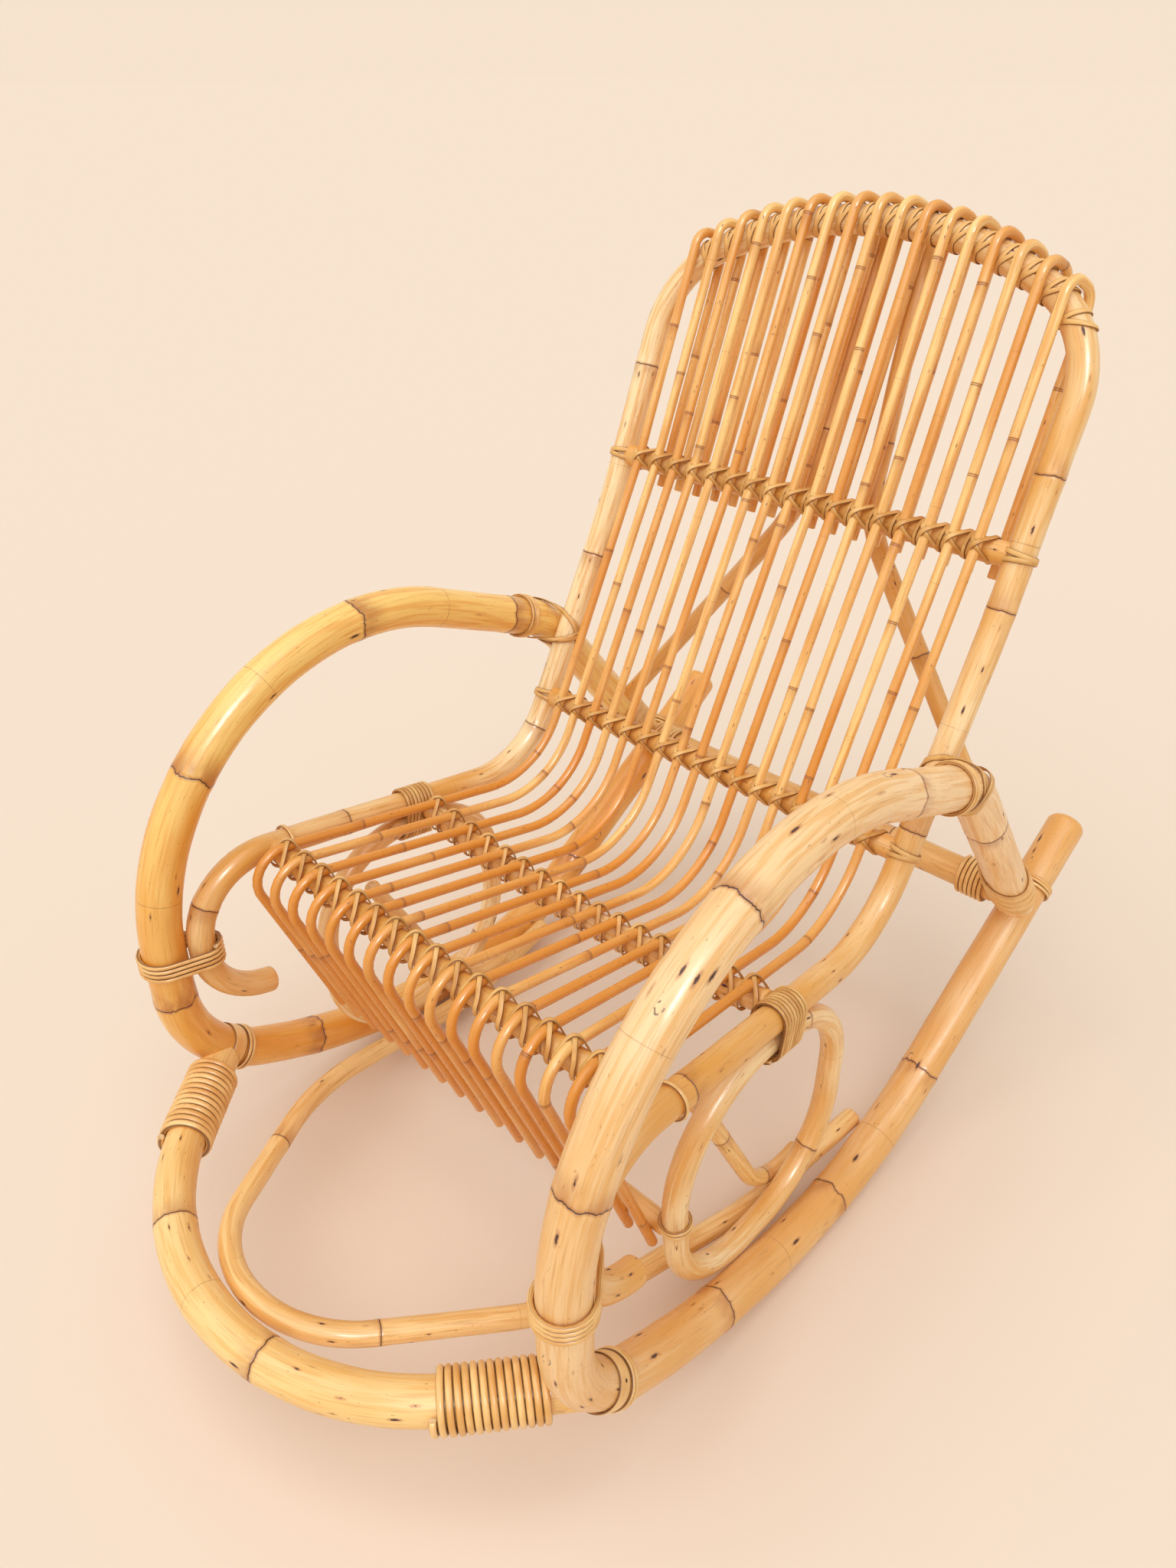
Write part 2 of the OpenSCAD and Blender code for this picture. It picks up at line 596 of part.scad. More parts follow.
// Least open space between any two turns, measured on the points
function least_gap(rings, steps, cane) = min([for (i = [0:len(rings) - 1])
    for (j = [i + steps / 2:1:min(len(rings) - 1, i + 2 * steps)]) norm(rings[i][0] - rings[j][0])]) - cane;

function fan(ring) = [for (i = [1:len(ring) - 2]) [ring[0], ring[i], ring[i + 1]]];

// One unbroken tube of wound cane with many-sided rings
module winding(name, axis, turns, steps, sides, cane, gap, half, slim, stout, slant = 0) {
    rings = wound(axis, turns, steps, cane, gap, half, slim, stout, slant);
    n = len(rings);
    echo(str(name, ", least gap to itself"), least_gap(rings, steps, cane));
    skin_points = [for (ring = rings) for (j = [0:sides - 1]) let (b = j * 360 / sides)
        ring[0] + cane / 2 * (cos(b) * ring[1] + sin(b) * ring[2])];
    start_cap = fan([for (j = [0:sides - 1]) j]);
    end_cap = fan([for (j = [sides - 1:-1:0]) (n - 1) * sides + j]);
    skin = [for (i = [0:n - 2]) for (j = [0:sides - 1]) let (k = (j + 1) % sides)
        each [[i * sides + j, (i + 1) * sides + k, i * sides + k],
              [i * sides + j, (i + 1) * sides + j, (i + 1) * sides + k]]];
    polyhedron(skin_points, concat(start_cap, end_cap, skin));
}

// Closed band of cane round a pole at p that runs in direction d
module band(p, d, pole_r) {
    translate(p) along(d) rotate_extrude() translate([pole_r + knot_e + fit + tie_r, 0]) circle(tie_r);
}

// Bands side by side along a straight stretch of pole from p
module bands(p, d, count, pole_r) {
    for (i = [0:count - 1]) band(p + d * (i * (tie_d + fit)), d, pole_r);
}

// Two crossed loops of flat cane that hold a rod on a bar: x along the bar, y along the rod at p
module crossed_loops(p, x, y) {
    out = unit(cross(x, y));
    for (loop = [[lashing_a, inner_loop_r], [-lashing_a, outer_loop_r]])
        translate(p - out * (rod_off - rod_r)) along(cross(out, x * sin(loop[0]) + y * cos(loop[0])))
            rotate_extrude() translate([loop[1], -strip_w / 2]) square([strip_t, strip_w]);
}

// Lashings of all the rods on one bar
module bar_lashings(bar, sag, held) {
    for (k = [-rods_a_side:rods_a_side]) {
        tilt = arc_slope(held(k)[0][0], bar[0], sag);
        crossed_loops(held(k)[0], [cos(tilt), 0, sin(tilt)], held(k)[1]);
    }
}

// Poles

module arm_runner(side) {
    profile = [tail_end, rear_corner, front_corner, toe_corner, arm_corner, arm_bend, arm_up(foot_knot_up)];
    color("burlywood") set_down() on_side(side) {
        bent_pole([for (q = profile) space(q, arm_x)], [0, rocker_rear_r, rocker_front_r, toe_r, arm_bend_r, arm_back_r, 0],
            arm_r);
        knot(space(arm_up(foot_knot_up), arm_x), space(foot_dir, 0), knot_h, arm_r);
        difference() {
            straight(space(arm_up(foot_knot_up - knot_h / 8), arm_x), space(arm_foot, arm_x), arm_r);
            cope(space(arm_foot, arm_x), space(rear_dir, 0), arm_r);
        }
    }
}

module front_stretcher() {
    color("navajowhite") set_down() difference() {
        bent_pole([stretcher_end, stretcher_corner, mirrored(stretcher_end)], [0, stretcher_r, 0], stretcher_pole_r);
        for (side = SIDES) on_side(side) cope(stretcher_end, space(toe_dir, 0), arm_r);
    }
}

module inner_brace() {
    color("peru") set_down()
        bent_pole(concat(brace_half, [[0, brace_corner_y, brace_z(brace_corner_y)]], flip(brace_half)),
            [0, brace_side_r, brace_side_r, brace_r, brace_side_r, brace_side_r, 0], brace_pole_r);
}

module seat_back_frame() {
    radii = [0, curl_r, nose_r, seat_r, back_r, shoulder_r];
    color("tan") set_down()
        bent_pole(concat(frame_half, [space(arch_peak, 0)], flip(frame_half)),
            concat(radii, [crown_r], [for (i = [len(radii) - 1:-1:0]) radii[i]]), frame_r);
}

module rear_crossbar() {
    color("peru") set_down() coped_bar(space(crossbar, arm_x), space(foot_dir, 0), 0, crossbar_r, arm_r);
}

module upper_back_bar() {
    color("tan") set_down() coped_bar(space(upper_bar, back_x), space(upper_dir, 0), 0, bar_r, frame_r);
}

module lower_back_bar() {
    color("tan") set_down() coped_bar(space(lower_bar, back_x), space(lower_dir, 0), 0, bar_r, frame_r);
}

// Its ends butt against the wraps on the rails
module mid_seat_bar() {
    color("tan") set_down()
        coped_bar(mid_bar, rail_dir, mid_bar_sag, bar_r, lay(frame_r, wrap_d, 12) + wrap_d / 2 - knot_e,
            [for (f = [0:0.25:0.5]) rail_down * touch(frame_r, ring_r) * f]);
}

module front_seat_bar() {
    color("tan") set_down() coped_bar(front_bar, rail_dir, front_bar_sag, bar_r, frame_r);
}

module apron_bar() {
    color("peru") set_down() coped_bar(space(apron, ring_x), space(ring_front_dir, 0), 0, apron_r, ring_r);
}

module rod(k) {
    color("goldenrod") set_down() bent_pole(rod_points(k), rod_radii, rod_r, rod_knot_h);
}

module side_ring(side) {
    color("tan") set_down() on_side(side)
        bent_pole([for (q = ring_points) space(q, ring_x)], ring_radii, ring_r, knot_h, true);
}

module inner_stay(side) {
    color("peru") set_down() on_side(side)
        bent_pole([for (q = [stay_top, stay_corner, stay_end]) space(q, stay_x)], [0, stay_r, 0], stay_pole_r);
}

module back_strut(side) {
    i = side == "left" ? 0 : 1;
    color("peru") set_down() difference() {
        bent_pole(strut_points(i), [0, strut_bend_r, 0], strut_r);
        on_side(side) cope(strut_foot, space(foot_dir, 0), arm_r);
    }
}

// Wound cane

module stretcher_coil(side) {
    core = lay(stretcher_pole_r, coil_d, 14);
    color("burlywood") set_down() on_side(side)
        winding("stretcher coil", stretcher_axis, coil_turns, 14, 5, coil_d, coil_gap, 0, core, core);
}

module crossbar_coil(side) {
    core = lay(crossbar_r, rear_coil_d, 12);
    start = space(crossbar, arm_x - rear_coil_in);
    color("burlywood") set_down() on_side(side)
        winding("crossbar coil", straight_axis(start, [0, 0, 1], [0, 1, 0], [-1, 0, 0]),
            rear_coil_turns, 12, 4, rear_coil_d, turn_gap, 0, core, core);
}

// Holds the top of a side ring to the rail above it
module rail_wrap(side) {
    length = wrap_turns * (wrap_d + turn_gap);
    top = rail(wrap_y) - rail_dir * length / 2;
    half = touch(frame_r, ring_r) / 2;
    color("tan") set_down() on_side(side)
        winding("rail wrap", straight_axis(top + rail_down * half, rail_down, cross(rail_dir, rail_down), rail_dir),
            wrap_turns, 12, 4, wrap_d, turn_gap, half, lay(ring_r + wrap_slack / 2, wrap_d, 12),
            lay(frame_r, wrap_d, 12));
}

// Holds a curled end of the seat frame to the upright of the arm
module curl_wrap(side) {
    length = curl_turns * (wrap_d + turn_gap);
    arm_at = [arm_x, 0, curl_wrap_z - length / 2];
    frame_at = [front_x, curl_y, arm_at[2]];
    u = unit(frame_at - arm_at);
    half = (norm(frame_at - arm_at) + wrap_slack) / 2;
    color("tan") set_down() on_side(side)
        winding("curl wrap", straight_axis(arm_at + u * half, u, cross([0, 0, 1], u), [0, 0, 1]), curl_turns, 12, 4,
            wrap_d, turn_gap, half, lay(frame_r, wrap_d, 12), lay(arm_r, wrap_d, 12));
}

// Slants from above the cross bar on the inside of the arm to the runner on its outside
module arm_foot_wrap(side) {
    core = lay(arm_r, foot_cane_d, 12);
    inside = [-1, 0, 0];
    start = space(arm_up(foot_wrap_up), arm_x);
    color("burlywood") set_down() on_side(side)
        winding("arm foot wrap", straight_axis(start, inside, cross(space(-foot_dir, 0), inside), space(-foot_dir, 0)),
            foot_turns, 12, 4, foot_cane_d, turn_gap, 0, core, core, foot_slant);
}

// Cane bands

module runner_strap(side) {
    start = space(arm_foot + rear_dir * (arm_r + knot_e + tie_d), arm_x);
    color("tan") set_down() on_side(side) bands(start, space(rear_dir, 0), 3, arm_r);
}

module arm_band(side) {
    color("tan") set_down() on_side(side)
        bands(space(arm_bend - arm_dir * arm_band_back, arm_x), space(-arm_dir, 0), 3, arm_r);
}

module apron_tie(side) {
    start = apron + ring_front_dir * (apron_r + tie_d);
    color("tan") set_down() on_side(side) bands(space(start, ring_x), space(ring_front_dir, 0), 2, ring_r);
}

module rail_band(side) {
    color("tan") set_down() on_side(side) bands(rail(front_bar_y + bar_r + tie_d), rail_dir, 1, frame_r);
}

module toe_band(side) {
    color("tan") set_down() on_side(side) for (i = [0:2]) {
        a = toe_band_turn + i * (tie_d + 3 * fit) / (toe_r - arm_r) * 180 / PI;
        band(space(toe_mid - toe_r * heading(a), arm_x), [0, sin(a), -cos(a)], arm_r);
    }
}

module upper_bar_lashings() {
    color("tan") set_down() bar_lashings(space(upper_bar, back_x), 0, at_upper_bar);
}

module lower_bar_lashings() {
    color("tan") set_down() bar_lashings(space(lower_bar, back_x), 0, at_lower_bar);
}

module mid_bar_lashings() {
    color("tan") set_down() bar_lashings(mid_bar, mid_bar_sag, at_mid_bar);
}

module front_bar_lashings() {
    color("tan") set_down() bar_lashings(front_bar, front_bar_sag, at_front_bar);
}

front_stretcher();
inner_brace();
seat_back_frame();
rear_crossbar();
upper_back_bar();
lower_back_bar();
mid_seat_bar();
front_seat_bar();
apron_bar();
upper_bar_lashings();
lower_bar_lashings();
mid_bar_lashings();
front_bar_lashings();
for (i = [0:ROD_COUNT - 1]) rod(i - rods_a_side);
for (side = SIDES) {
    arm_runner(side);
    side_ring(side);
    inner_stay(side);
    back_strut(side);
    stretcher_coil(side);
    crossbar_coil(side);
    rail_wrap(side);
    curl_wrap(side);
    arm_foot_wrap(side);
    runner_strap(side);
    arm_band(side);
    apron_tie(side);
    rail_band(side);
    toe_band(side);
}
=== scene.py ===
"""Looks of the bent and lashed rocking chair: its poles, rods and cane, dressed over its solids."""

import logging
import math
from collections.abc import Callable, Sequence
from dataclasses import dataclass
from enum import Enum

import bmesh
import bpy
from mathutils import Matrix, Quaternion, Vector

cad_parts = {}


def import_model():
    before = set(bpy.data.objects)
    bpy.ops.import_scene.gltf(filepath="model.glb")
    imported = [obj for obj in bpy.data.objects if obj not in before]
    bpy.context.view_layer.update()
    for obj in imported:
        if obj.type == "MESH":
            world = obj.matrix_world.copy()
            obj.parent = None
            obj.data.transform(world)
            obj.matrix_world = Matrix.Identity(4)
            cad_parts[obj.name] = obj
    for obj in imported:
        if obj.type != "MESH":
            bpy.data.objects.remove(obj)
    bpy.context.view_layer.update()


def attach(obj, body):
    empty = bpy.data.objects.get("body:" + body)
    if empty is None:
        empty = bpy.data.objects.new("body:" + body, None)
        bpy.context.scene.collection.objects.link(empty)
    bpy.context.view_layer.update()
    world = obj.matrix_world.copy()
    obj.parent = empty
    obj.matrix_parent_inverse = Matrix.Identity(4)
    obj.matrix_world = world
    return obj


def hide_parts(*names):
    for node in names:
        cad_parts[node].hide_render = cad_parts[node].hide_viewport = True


LOG = logging.getLogger("rocking_chair")
MM = 0.001
FIT = 0.25  # Millimetres left between a rod and its bar.
CLEAR = 0.3  # Millimetres left between a round of cane and its pole.
SPREAD = (0.381966, 0.754877)  # Their multiples spread evenly between 0 and 1.
FLATNESS = 0.75  # Below 1 the section of flat cane is squarer than an ellipse.
END = 0.02  # Metres at each end of a rod that have no node ring.
ALMOST = 0.9999  # Keeps a bend just shorter than the legs that it takes up.
Colour = tuple[float, float, float]
Points = tuple[Vector, ...]
Sizes = tuple[float, ...]
Tones = tuple[tuple[float, float], ...]  # How deep the colour is at distances in metres.
Socket = bpy.types.NodeSocket
Section = Callable[[float, float], tuple[float, float]]
Axis = Callable[[float], tuple[Vector, Vector, Vector, Vector]]


class Slot(Enum):
    """Names of material slots."""

    PALE_POLE = "pale_pole"
    FRAME_POLE = "frame_pole"
    THIN_POLE = "thin_pole"
    ROD = "rod"
    CANE = "cane"


class Side(Enum):
    """The two sides of the chair, with the sign of X on each."""

    LEFT = 1.0
    RIGHT = -1.0

    @property
    def word(self) -> str:
        """The side as its nodes are named."""
        return self.name.lower()

    def turned(self, point: Vector) -> Vector:
        """A point given for the left, on this side."""
        return Vector((point.x * self.value, point.y, point.z))


def mm(x: float, y: float, z: float) -> Vector:
    """A point written in millimetres, in metres."""
    return Vector((x, y, z)) * MM


def millimetres(*points: tuple[float, float, float]) -> Points:
    """Points written in millimetres, in metres."""
    return tuple(mm(*point) for point in points)


def leaning(degrees: float) -> tuple[Vector, Vector]:
    """The way up a slope that rises toward the back, and the way out of its front."""
    rise = math.radians(degrees)
    return Vector((0, math.cos(rise), math.sin(rise))), Vector((0, -math.sin(rise), math.cos(rise)))


def lengthwise(way: Vector) -> Vector:
    """A direction without its part across the chair."""
    return Vector((0, way.y, way.z)).normalized()


def skin_colour(red: int, green: int, blue: int) -> Colour:
    """A colour as it is seen on a screen, from 0 to 255, as the shader takes it.

    Args:
        red: Red as displayed.
        green: Green as displayed.
        blue: Blue as displayed.

    Returns:
        The linear colour.
    """

    def linear(level: int) -> float:
        """One part of the colour."""
        value = level / 255
        return value / 12.92 if value <= 0.04045 else ((value + 0.055) / 1.055) ** 2.4

    return linear(red), linear(green), linear(blue)


class Graph:
    """The nodes of one material, linked as they are added."""

    def __init__(self, name: str) -> None:
        """Starts a material that holds only its shader.

        Args:
            name: Name of the material.
        """
        self.material = bpy.data.materials.new(name)
        self.material.use_nodes = True
        self.tree = self.material.node_tree
        self.shader = next(n for n in self.tree.nodes if n.type == "BSDF_PRINCIPLED")

    def put(self, socket: Socket, value: object) -> None:
        """Links a socket where the value is one, and writes any other value on it.

        Args:
            socket: The input that gets the value.
            value: A socket, a number, a vector or a colour.
        """
        if isinstance(value, Socket):
            self.tree.links.new(value, socket)
        elif isinstance(value, tuple) and len(value) == 3 and socket.type == "RGBA":
            socket.default_value = (*value, 1.0)
        else:
            socket.default_value = value

    def add(self, kind: str, inputs: dict[int | str, object], **settings: object) -> bpy.types.Node:
        """Adds a node.

        Args:
            kind: Type of the node, without its ShaderNode prefix.
            inputs: What each input gets, by name or number.
            **settings: Properties of the node.

        Returns:
            The node.
        """
        node = self.tree.nodes.new("ShaderNode" + kind)
        for key, setting in settings.items():
            setattr(node, key, setting)
        for key, value in inputs.items():
            self.put(node.inputs[key], value)
        return node

    def read(self, attribute: str) -> bpy.types.Node:
        """The node that reads one of the mesh's attributes."""
        return self.add("Attribute", {}, attribute_name=attribute)

    def maths(self, operation: str, first: object, second: object = 0.0) -> Socket:
        """One sum on two values."""
        return self.add("Math", {0: first, 1: second}, operation=operation).outputs[0]

    def times(self, first: object, second: object) -> Socket:
        """The product of two values."""
        return self.maths("MULTIPLY", first, second)

    def minus(self, first: object, second: object) -> Socket:
        """The difference of two values."""
        return self.maths("SUBTRACT", first, second)

    def away(self, value: object, place: object) -> Socket:
        """How far a value is from a place, on either side of it."""
        return self.maths("ABSOLUTE", self.minus(value, place))

    def ramp(
        self, value: object, low: float, high: float, bottom: float = 0.0, top: float = 1.0
    ) -> Socket:
        """A soft step of the value from bottom at low to top at high."""
        inputs = {"Value": value, "From Min": low, "From Max": high, "To Min": bottom, "To Max": top}
        return self.add("MapRange", inputs, interpolation_type="SMOOTHSTEP").outputs[0]

    def blend(self, mask: object, first: object, second: object) -> Socket:
        """The first colour, and the second one where the mask is 1."""
        return self.add("Mix", {0: mask, 6: first, 7: second}, data_type="RGBA").outputs[2]

    def drawn_out(self, skin: Socket, along: float) -> Socket:
        """The place on a pole with its length scaled, so that a pattern on it is drawn out."""
        return self.add("Mapping", {"Vector": skin, "Scale": (1.0, 1.0, along)}).outputs[0]

    def cloud(self, vector: Socket, scale: float, detail: float = 2.0) -> Socket:
        """Soft noise from 0 to 1, with the scale in waves to the metre."""
        return self.add("TexNoise", {"Vector": vector, "Scale": scale, "Detail": detail}).outputs["Fac"]

    def grain(self, skin: Socket, along: float, scale: float, detail: float = 2.0) -> Socket:
        """Soft noise that is drawn out along a pole."""
        return self.cloud(self.drawn_out(skin, along), scale, detail)

    def spots(self, vector: Socket, scale: float) -> tuple[Socket, Socket, Socket]:
        """Scattered spots: how far the nearest one is, and two numbers drawn for it."""
        cells = self.add("TexVoronoi", {"Vector": vector, "Scale": scale})
        drawn = self.add("SeparateColor", {0: cells.outputs["Color"]})
        return cells.outputs["Distance"], drawn.outputs[0], drawn.outputs[1]

    def bump(self, height: object, strength: float, distance: float) -> Socket:
        """The direction of a surface that has a height."""
        inputs = {"Strength": strength, "Distance": distance, "Height": height}
        return self.add("Bump", inputs).outputs[0]

    def surface(self, inputs: dict[str, object]) -> bpy.types.Material:
        """Finishes the material.

        Args:
            inputs: What each input of its shader gets.

        Returns:
            The material.
        """
        for name, value in inputs.items():
            self.put(self.shader.inputs[name], value)
        return self.material


@dataclass(frozen=True)
class PoleSkin:
    """The skin of a rattan pole: fibres, patches, scorched node rings and pits.

    Its pattern reads the skin attribute, the place on the pole as if it were straight, the ring
    attribute, the distance to the nearest node ring, and the tone attribute, how deep the colour is.
    """

    name: str
    pale: Colour
    honey: Colour
    streak: Colour
    scorch: Colour = skin_colour(172, 92, 30)
    line: Colour = skin_colour(74, 40, 28)
    pitted: float = 0.5
    pit_size: float = 1.7
    eyed: float = 0.0
    fibre: float = 0.5
    scorched: float = 0.7
    line_width: float = 1.0
    waver: float = 5.0
    paired_line: float = 0.0
    scorch_reach: float = 26.0
    rough: float = 0.36
    coat: float = 0.35

    def wood(self, g: Graph, skin: Socket, fibre: Socket) -> Socket:
        """The colour of the plain wood, with patches, broad stripes and fibres."""
        tone = g.read("tone").outputs["Fac"]
        depth = g.maths("ADD", tone, g.times(g.minus(g.grain(skin, 0.3, 26), 0.5), 1.6))
        colour = g.blend(g.ramp(depth, 0.0, 1.0), self.pale, self.honey)
        stripes = g.ramp(g.grain(skin, 0.06, 210), 0.46, 0.64, 0.0, 1.1 * self.fibre)
        colour = g.blend(stripes, colour, self.honey)
        return g.blend(g.ramp(fibre, 0.53, 0.75, 0.0, self.fibre), colour, self.streak)

    def node_rings(self, g: Graph, skin: Socket, colour: Socket) -> tuple[Socket, Socket]:
        """Adds what the node rings show: a scorched patch on one side, and a thin jagged line.

        Args:
            g: The material's nodes.
            skin: The place on the pole.
            colour: The colour so far.

        Returns:
            The colour and the mask of the line.
        """
        waver = g.minus(g.grain(skin, 0.04, 64, 6), 0.5)
        off = g.maths("ADD", g.read("ring").outputs["Fac"], g.times(waver, self.waver * MM))
        smoke = g.times(g.ramp(off, 0.0, self.scorch_reach * MM, 1.0, 0.0), g.ramp(off, -0.002, 0.0))
        smoke = g.times(smoke, g.ramp(g.grain(skin, 0.4, 70, 3), 0.3, 0.62))
        colour = g.blend(g.times(smoke, self.scorched), colour, self.scorch)
        near = g.maths("ABSOLUTE", off)
        if self.paired_line:
            near = g.away(near, self.paired_line * MM)
        width = self.line_width * MM
        colour = g.blend(g.ramp(near, width, 4.0 * width, 0.4, 0.0), colour, self.scorch)
        line = g.ramp(near, 0.25 * width, width, 1.0, 0.0)
        return g.blend(line, colour, self.line), line

    def pits(self, g: Graph, skin: Socket, colour: Socket) -> tuple[Socket, Socket]:
        """Adds dark pits with a brown rim, brown specks, and curled lines round a few knots.

        Args:
            g: The material's nodes.
            skin: The place on the pole.
            colour: The colour so far.

        Returns:
            The colour and the mask of the pits.
        """
        jitter = g.add("TexNoise", {"Vector": skin, "Scale": 420.0}).outputs["Color"]
        moved = g.add("VectorMath", {0: jitter, 1: (0.0014,) * 3, 2: skin}, operation="MULTIPLY_ADD")
        moved = moved.outputs[0]
        near, luck, size = g.spots(g.drawn_out(moved, 0.26), 0.2 / (self.pit_size * MM))
        held = g.ramp(luck, 1.0 - self.pitted, 1.02 - self.pitted)
        shape = g.maths("ADD", near, g.times(size, 0.15))
        pit = g.times(held, g.ramp(shape, 0.13, 0.18, 1.0, 0.0))
        rim = g.times(held, g.ramp(shape, 0.16, 0.30, 0.55, 0.0))
        speck = g.ramp(g.grain(skin, 0.3, 640, 1), 0.72, 0.78, 0.0, 0.6)
        colour = g.blend(g.maths("MAXIMUM", rim, speck), colour, self.scorch)
        colour = g.blend(pit, colour, self.line)
        if self.eyed:
            near, luck, _ = g.spots(g.drawn_out(moved, 0.6), 34.0)
            curl = g.ramp(g.away(near, 0.13), 0.006, 0.02, 0.8, 0.0)
            curl = g.times(curl, g.ramp(g.cloud(skin, 190, 1), 0.42, 0.52))
            curl = g.times(curl, g.ramp(luck, 1.0 - self.eyed, 1.02 - self.eyed))
            colour = g.blend(curl, colour, self.line)
        return colour, pit

    def material(self) -> bpy.types.Material:
        """Makes the material.

        Returns:
            The material.
        """
        g = Graph(self.name)
        skin = g.read("skin").outputs["Vector"]
        fibre = g.grain(skin, 0.03, 800, 3)
        colour, line = self.node_rings(g, skin, self.wood(g, skin, fibre))
        colour, pit = self.pits(g, skin, colour)
        dull = g.ramp(g.cloud(skin, 90, 3), 0.3, 0.7, self.rough - 0.06, self.rough + 0.12)
        height = g.minus(g.minus(g.times(fibre, 0.1), g.times(pit, 0.8)), g.times(line, 0.7))
        return g.surface({
            "Base Color": colour,
            "Roughness": g.maths("ADD", dull, g.times(pit, 0.3)),
            "Coat Weight": self.coat,
            "Coat Roughness": 0.22,
            "Normal": g.bump(height, 0.6, 0.001),
        })


@dataclass(frozen=True)
class CaneSkin:
    """Split or round cane: long fibres, a colour that changes slowly along the strand, and painted shade on
    its edges that stands in for the dark gaps between strands.
    """

    name: str
    pale: Colour
    deep: Colour
    # Colour of the painted shade on a strand's edges, standing in for the dark gaps between strands; how deep
    # it goes and where it starts follow.
    gap: Colour = skin_colour(104, 60, 24)
    gap_shade_depth: float = 0.85
    gap_shade_from: float = 0.68
    rough: float = 0.5
    coat: float = 0.1

    def material(self) -> bpy.types.Material:
        """Makes the material.

        Returns:
            The material.
        """
        g = Graph(self.name)
        skin = g.read("skin").outputs["Vector"]
        tone = g.read("tone").outputs["Fac"]
        fibre = g.grain(skin, 0.05, 1500, 3)
        depth = g.maths("ADD", tone, g.times(g.minus(g.cloud(skin, 45), 0.5), 1.8))
        colour = g.blend(g.ramp(depth, 0.0, 1.0), self.pale, self.deep)
        colour = g.blend(g.ramp(fibre, 0.5, 0.72, 0.0, 0.4), colour, self.deep)
        # Painted shade: the strand darkens towards its edges, as the gaps between strands are dark.
        edge = g.maths("ABSOLUTE", g.maths("COSINE", g.read("turn").outputs["Fac"]))
        colour = g.blend(g.ramp(edge, self.gap_shade_from, 0.98, 0.0, self.gap_shade_depth), colour, self.gap)
        return g.surface({
            "Base Color": colour,
            "Roughness": g.ramp(fibre, 0.3, 0.7, self.rough - 0.05, self.rough + 0.1),
            "Coat Weight": self.coat,
            "Coat Roughness": 0.3,
            "Normal": g.bump(fibre, 0.5, 0.0006),
        })


@dataclass(frozen=True)
class CutEnd:
    """The porous end grain of a sawn pole."""

    name: str
    wood: Colour
    pore: Colour

    def material(self) -> bpy.types.Material:
        """Makes the material.

        Returns:
            The material.
        """
        g = Graph(self.name)
        place = g.add("TexCoord", {}).outputs["Object"]
        pores = g.add("TexVoronoi", {"Vector": place, "Scale": 1300.0}).outputs["Distance"]
        colour = g.blend(g.ramp(g.cloud(place, 160, 3), 0.35, 0.7, 0.0, 0.5), self.wood, self.pore)
        return g.surface({
            "Base Color": g.blend(g.ramp(pores, 0.1, 0.3, 0.7, 0.0), colour, self.pore),
            "Roughness": g.ramp(pores, 0.1, 0.4, 0.9, 0.7),
            "Normal": g.bump(pores, 0.5, 0.0005),
        })


@dataclass(frozen=True)
class NailHead:
    """Dull dark steel of the small nails in the straps."""

    name: str
    steel: Colour
    rust: Colour = skin_colour(120, 70, 40)

    def material(self) -> bpy.types.Material:
        """Makes the material.

        Returns:
            The material.
        """
        g = Graph(self.name)
        spots = g.cloud(g.add("TexCoord", {}).outputs["Object"], 2500, 2)
        return g.surface({
            "Base Color": g.blend(g.ramp(spots, 0.4, 0.7, 0.0, 0.6), self.steel, self.rust),
            "Roughness": g.ramp(spots, 0.3, 0.7, 0.35, 0.6),
            "Metallic": 0.8,
        })


PALE_ARM = PoleSkin(
    "pale_arm_skin", skin_colour(251, 213, 158), skin_colour(234, 172, 90), skin_colour(202, 146, 88),
    pitted=0.58, pit_size=2.0, eyed=0.22, fibre=0.55, scorched=0.5, waver=18.0, line_width=0.95)
AMBER_ARM = PoleSkin(
    "amber_arm_skin", skin_colour(255, 214, 124), skin_colour(236, 158, 54), skin_colour(204, 128, 42),
    pitted=0.46, pit_size=1.9, eyed=0.2, fibre=0.45, coat=0.45, scorch_reach=36.0, waver=18.0)
STRETCHER_SKIN = PoleSkin(
    "stretcher_skin", skin_colour(252, 213, 142), skin_colour(238, 178, 88), skin_colour(206, 150, 80),
    pitted=0.45, pit_size=1.6, eyed=0.15, scorched=0.45, waver=12.0)
FRAME_SKIN = PoleSkin(
    "frame_skin", skin_colour(255, 228, 176), skin_colour(232, 168, 78), skin_colour(196, 136, 64),
    pitted=0.52, pit_size=1.4, fibre=0.55, scorched=0.4, line_width=0.7, waver=7.0)
THIN_SKIN = PoleSkin(
    "thin_pole_skin", skin_colour(250, 208, 140), skin_colour(228, 164, 76), skin_colour(188, 132, 62),
    pitted=0.3, pit_size=1.2, fibre=0.55, scorched=0.4, line_width=0.7)
ROD_SKIN = PoleSkin(
    "rod_skin", skin_colour(253, 210, 132), skin_colour(227, 148, 52), skin_colour(204, 132, 48),
    line=skin_colour(148, 92, 48), pitted=0.25, pit_size=0.7, scorched=0.4, line_width=0.36,
    waver=1.6, paired_line=0.9, scorch_reach=20.0, coat=0.45, rough=0.32)
LASHING_SKIN = CaneSkin("lashing_cane", skin_colour(238, 190, 116), skin_colour(204, 144, 66))
# Round cane gets its painted edge shade only close to its edges.
ROUND_CANE = CaneSkin(
    "round_cane", skin_colour(252, 208, 136), skin_colour(228, 168, 88), gap_shade_from=0.78, rough=0.38, coat=0.4)
END_GRAIN = CutEnd("cut_end", skin_colour(240, 208, 156), skin_colour(186, 136, 84))
NAIL_STEEL = NailHead("nail_steel", skin_colour(70, 62, 58))


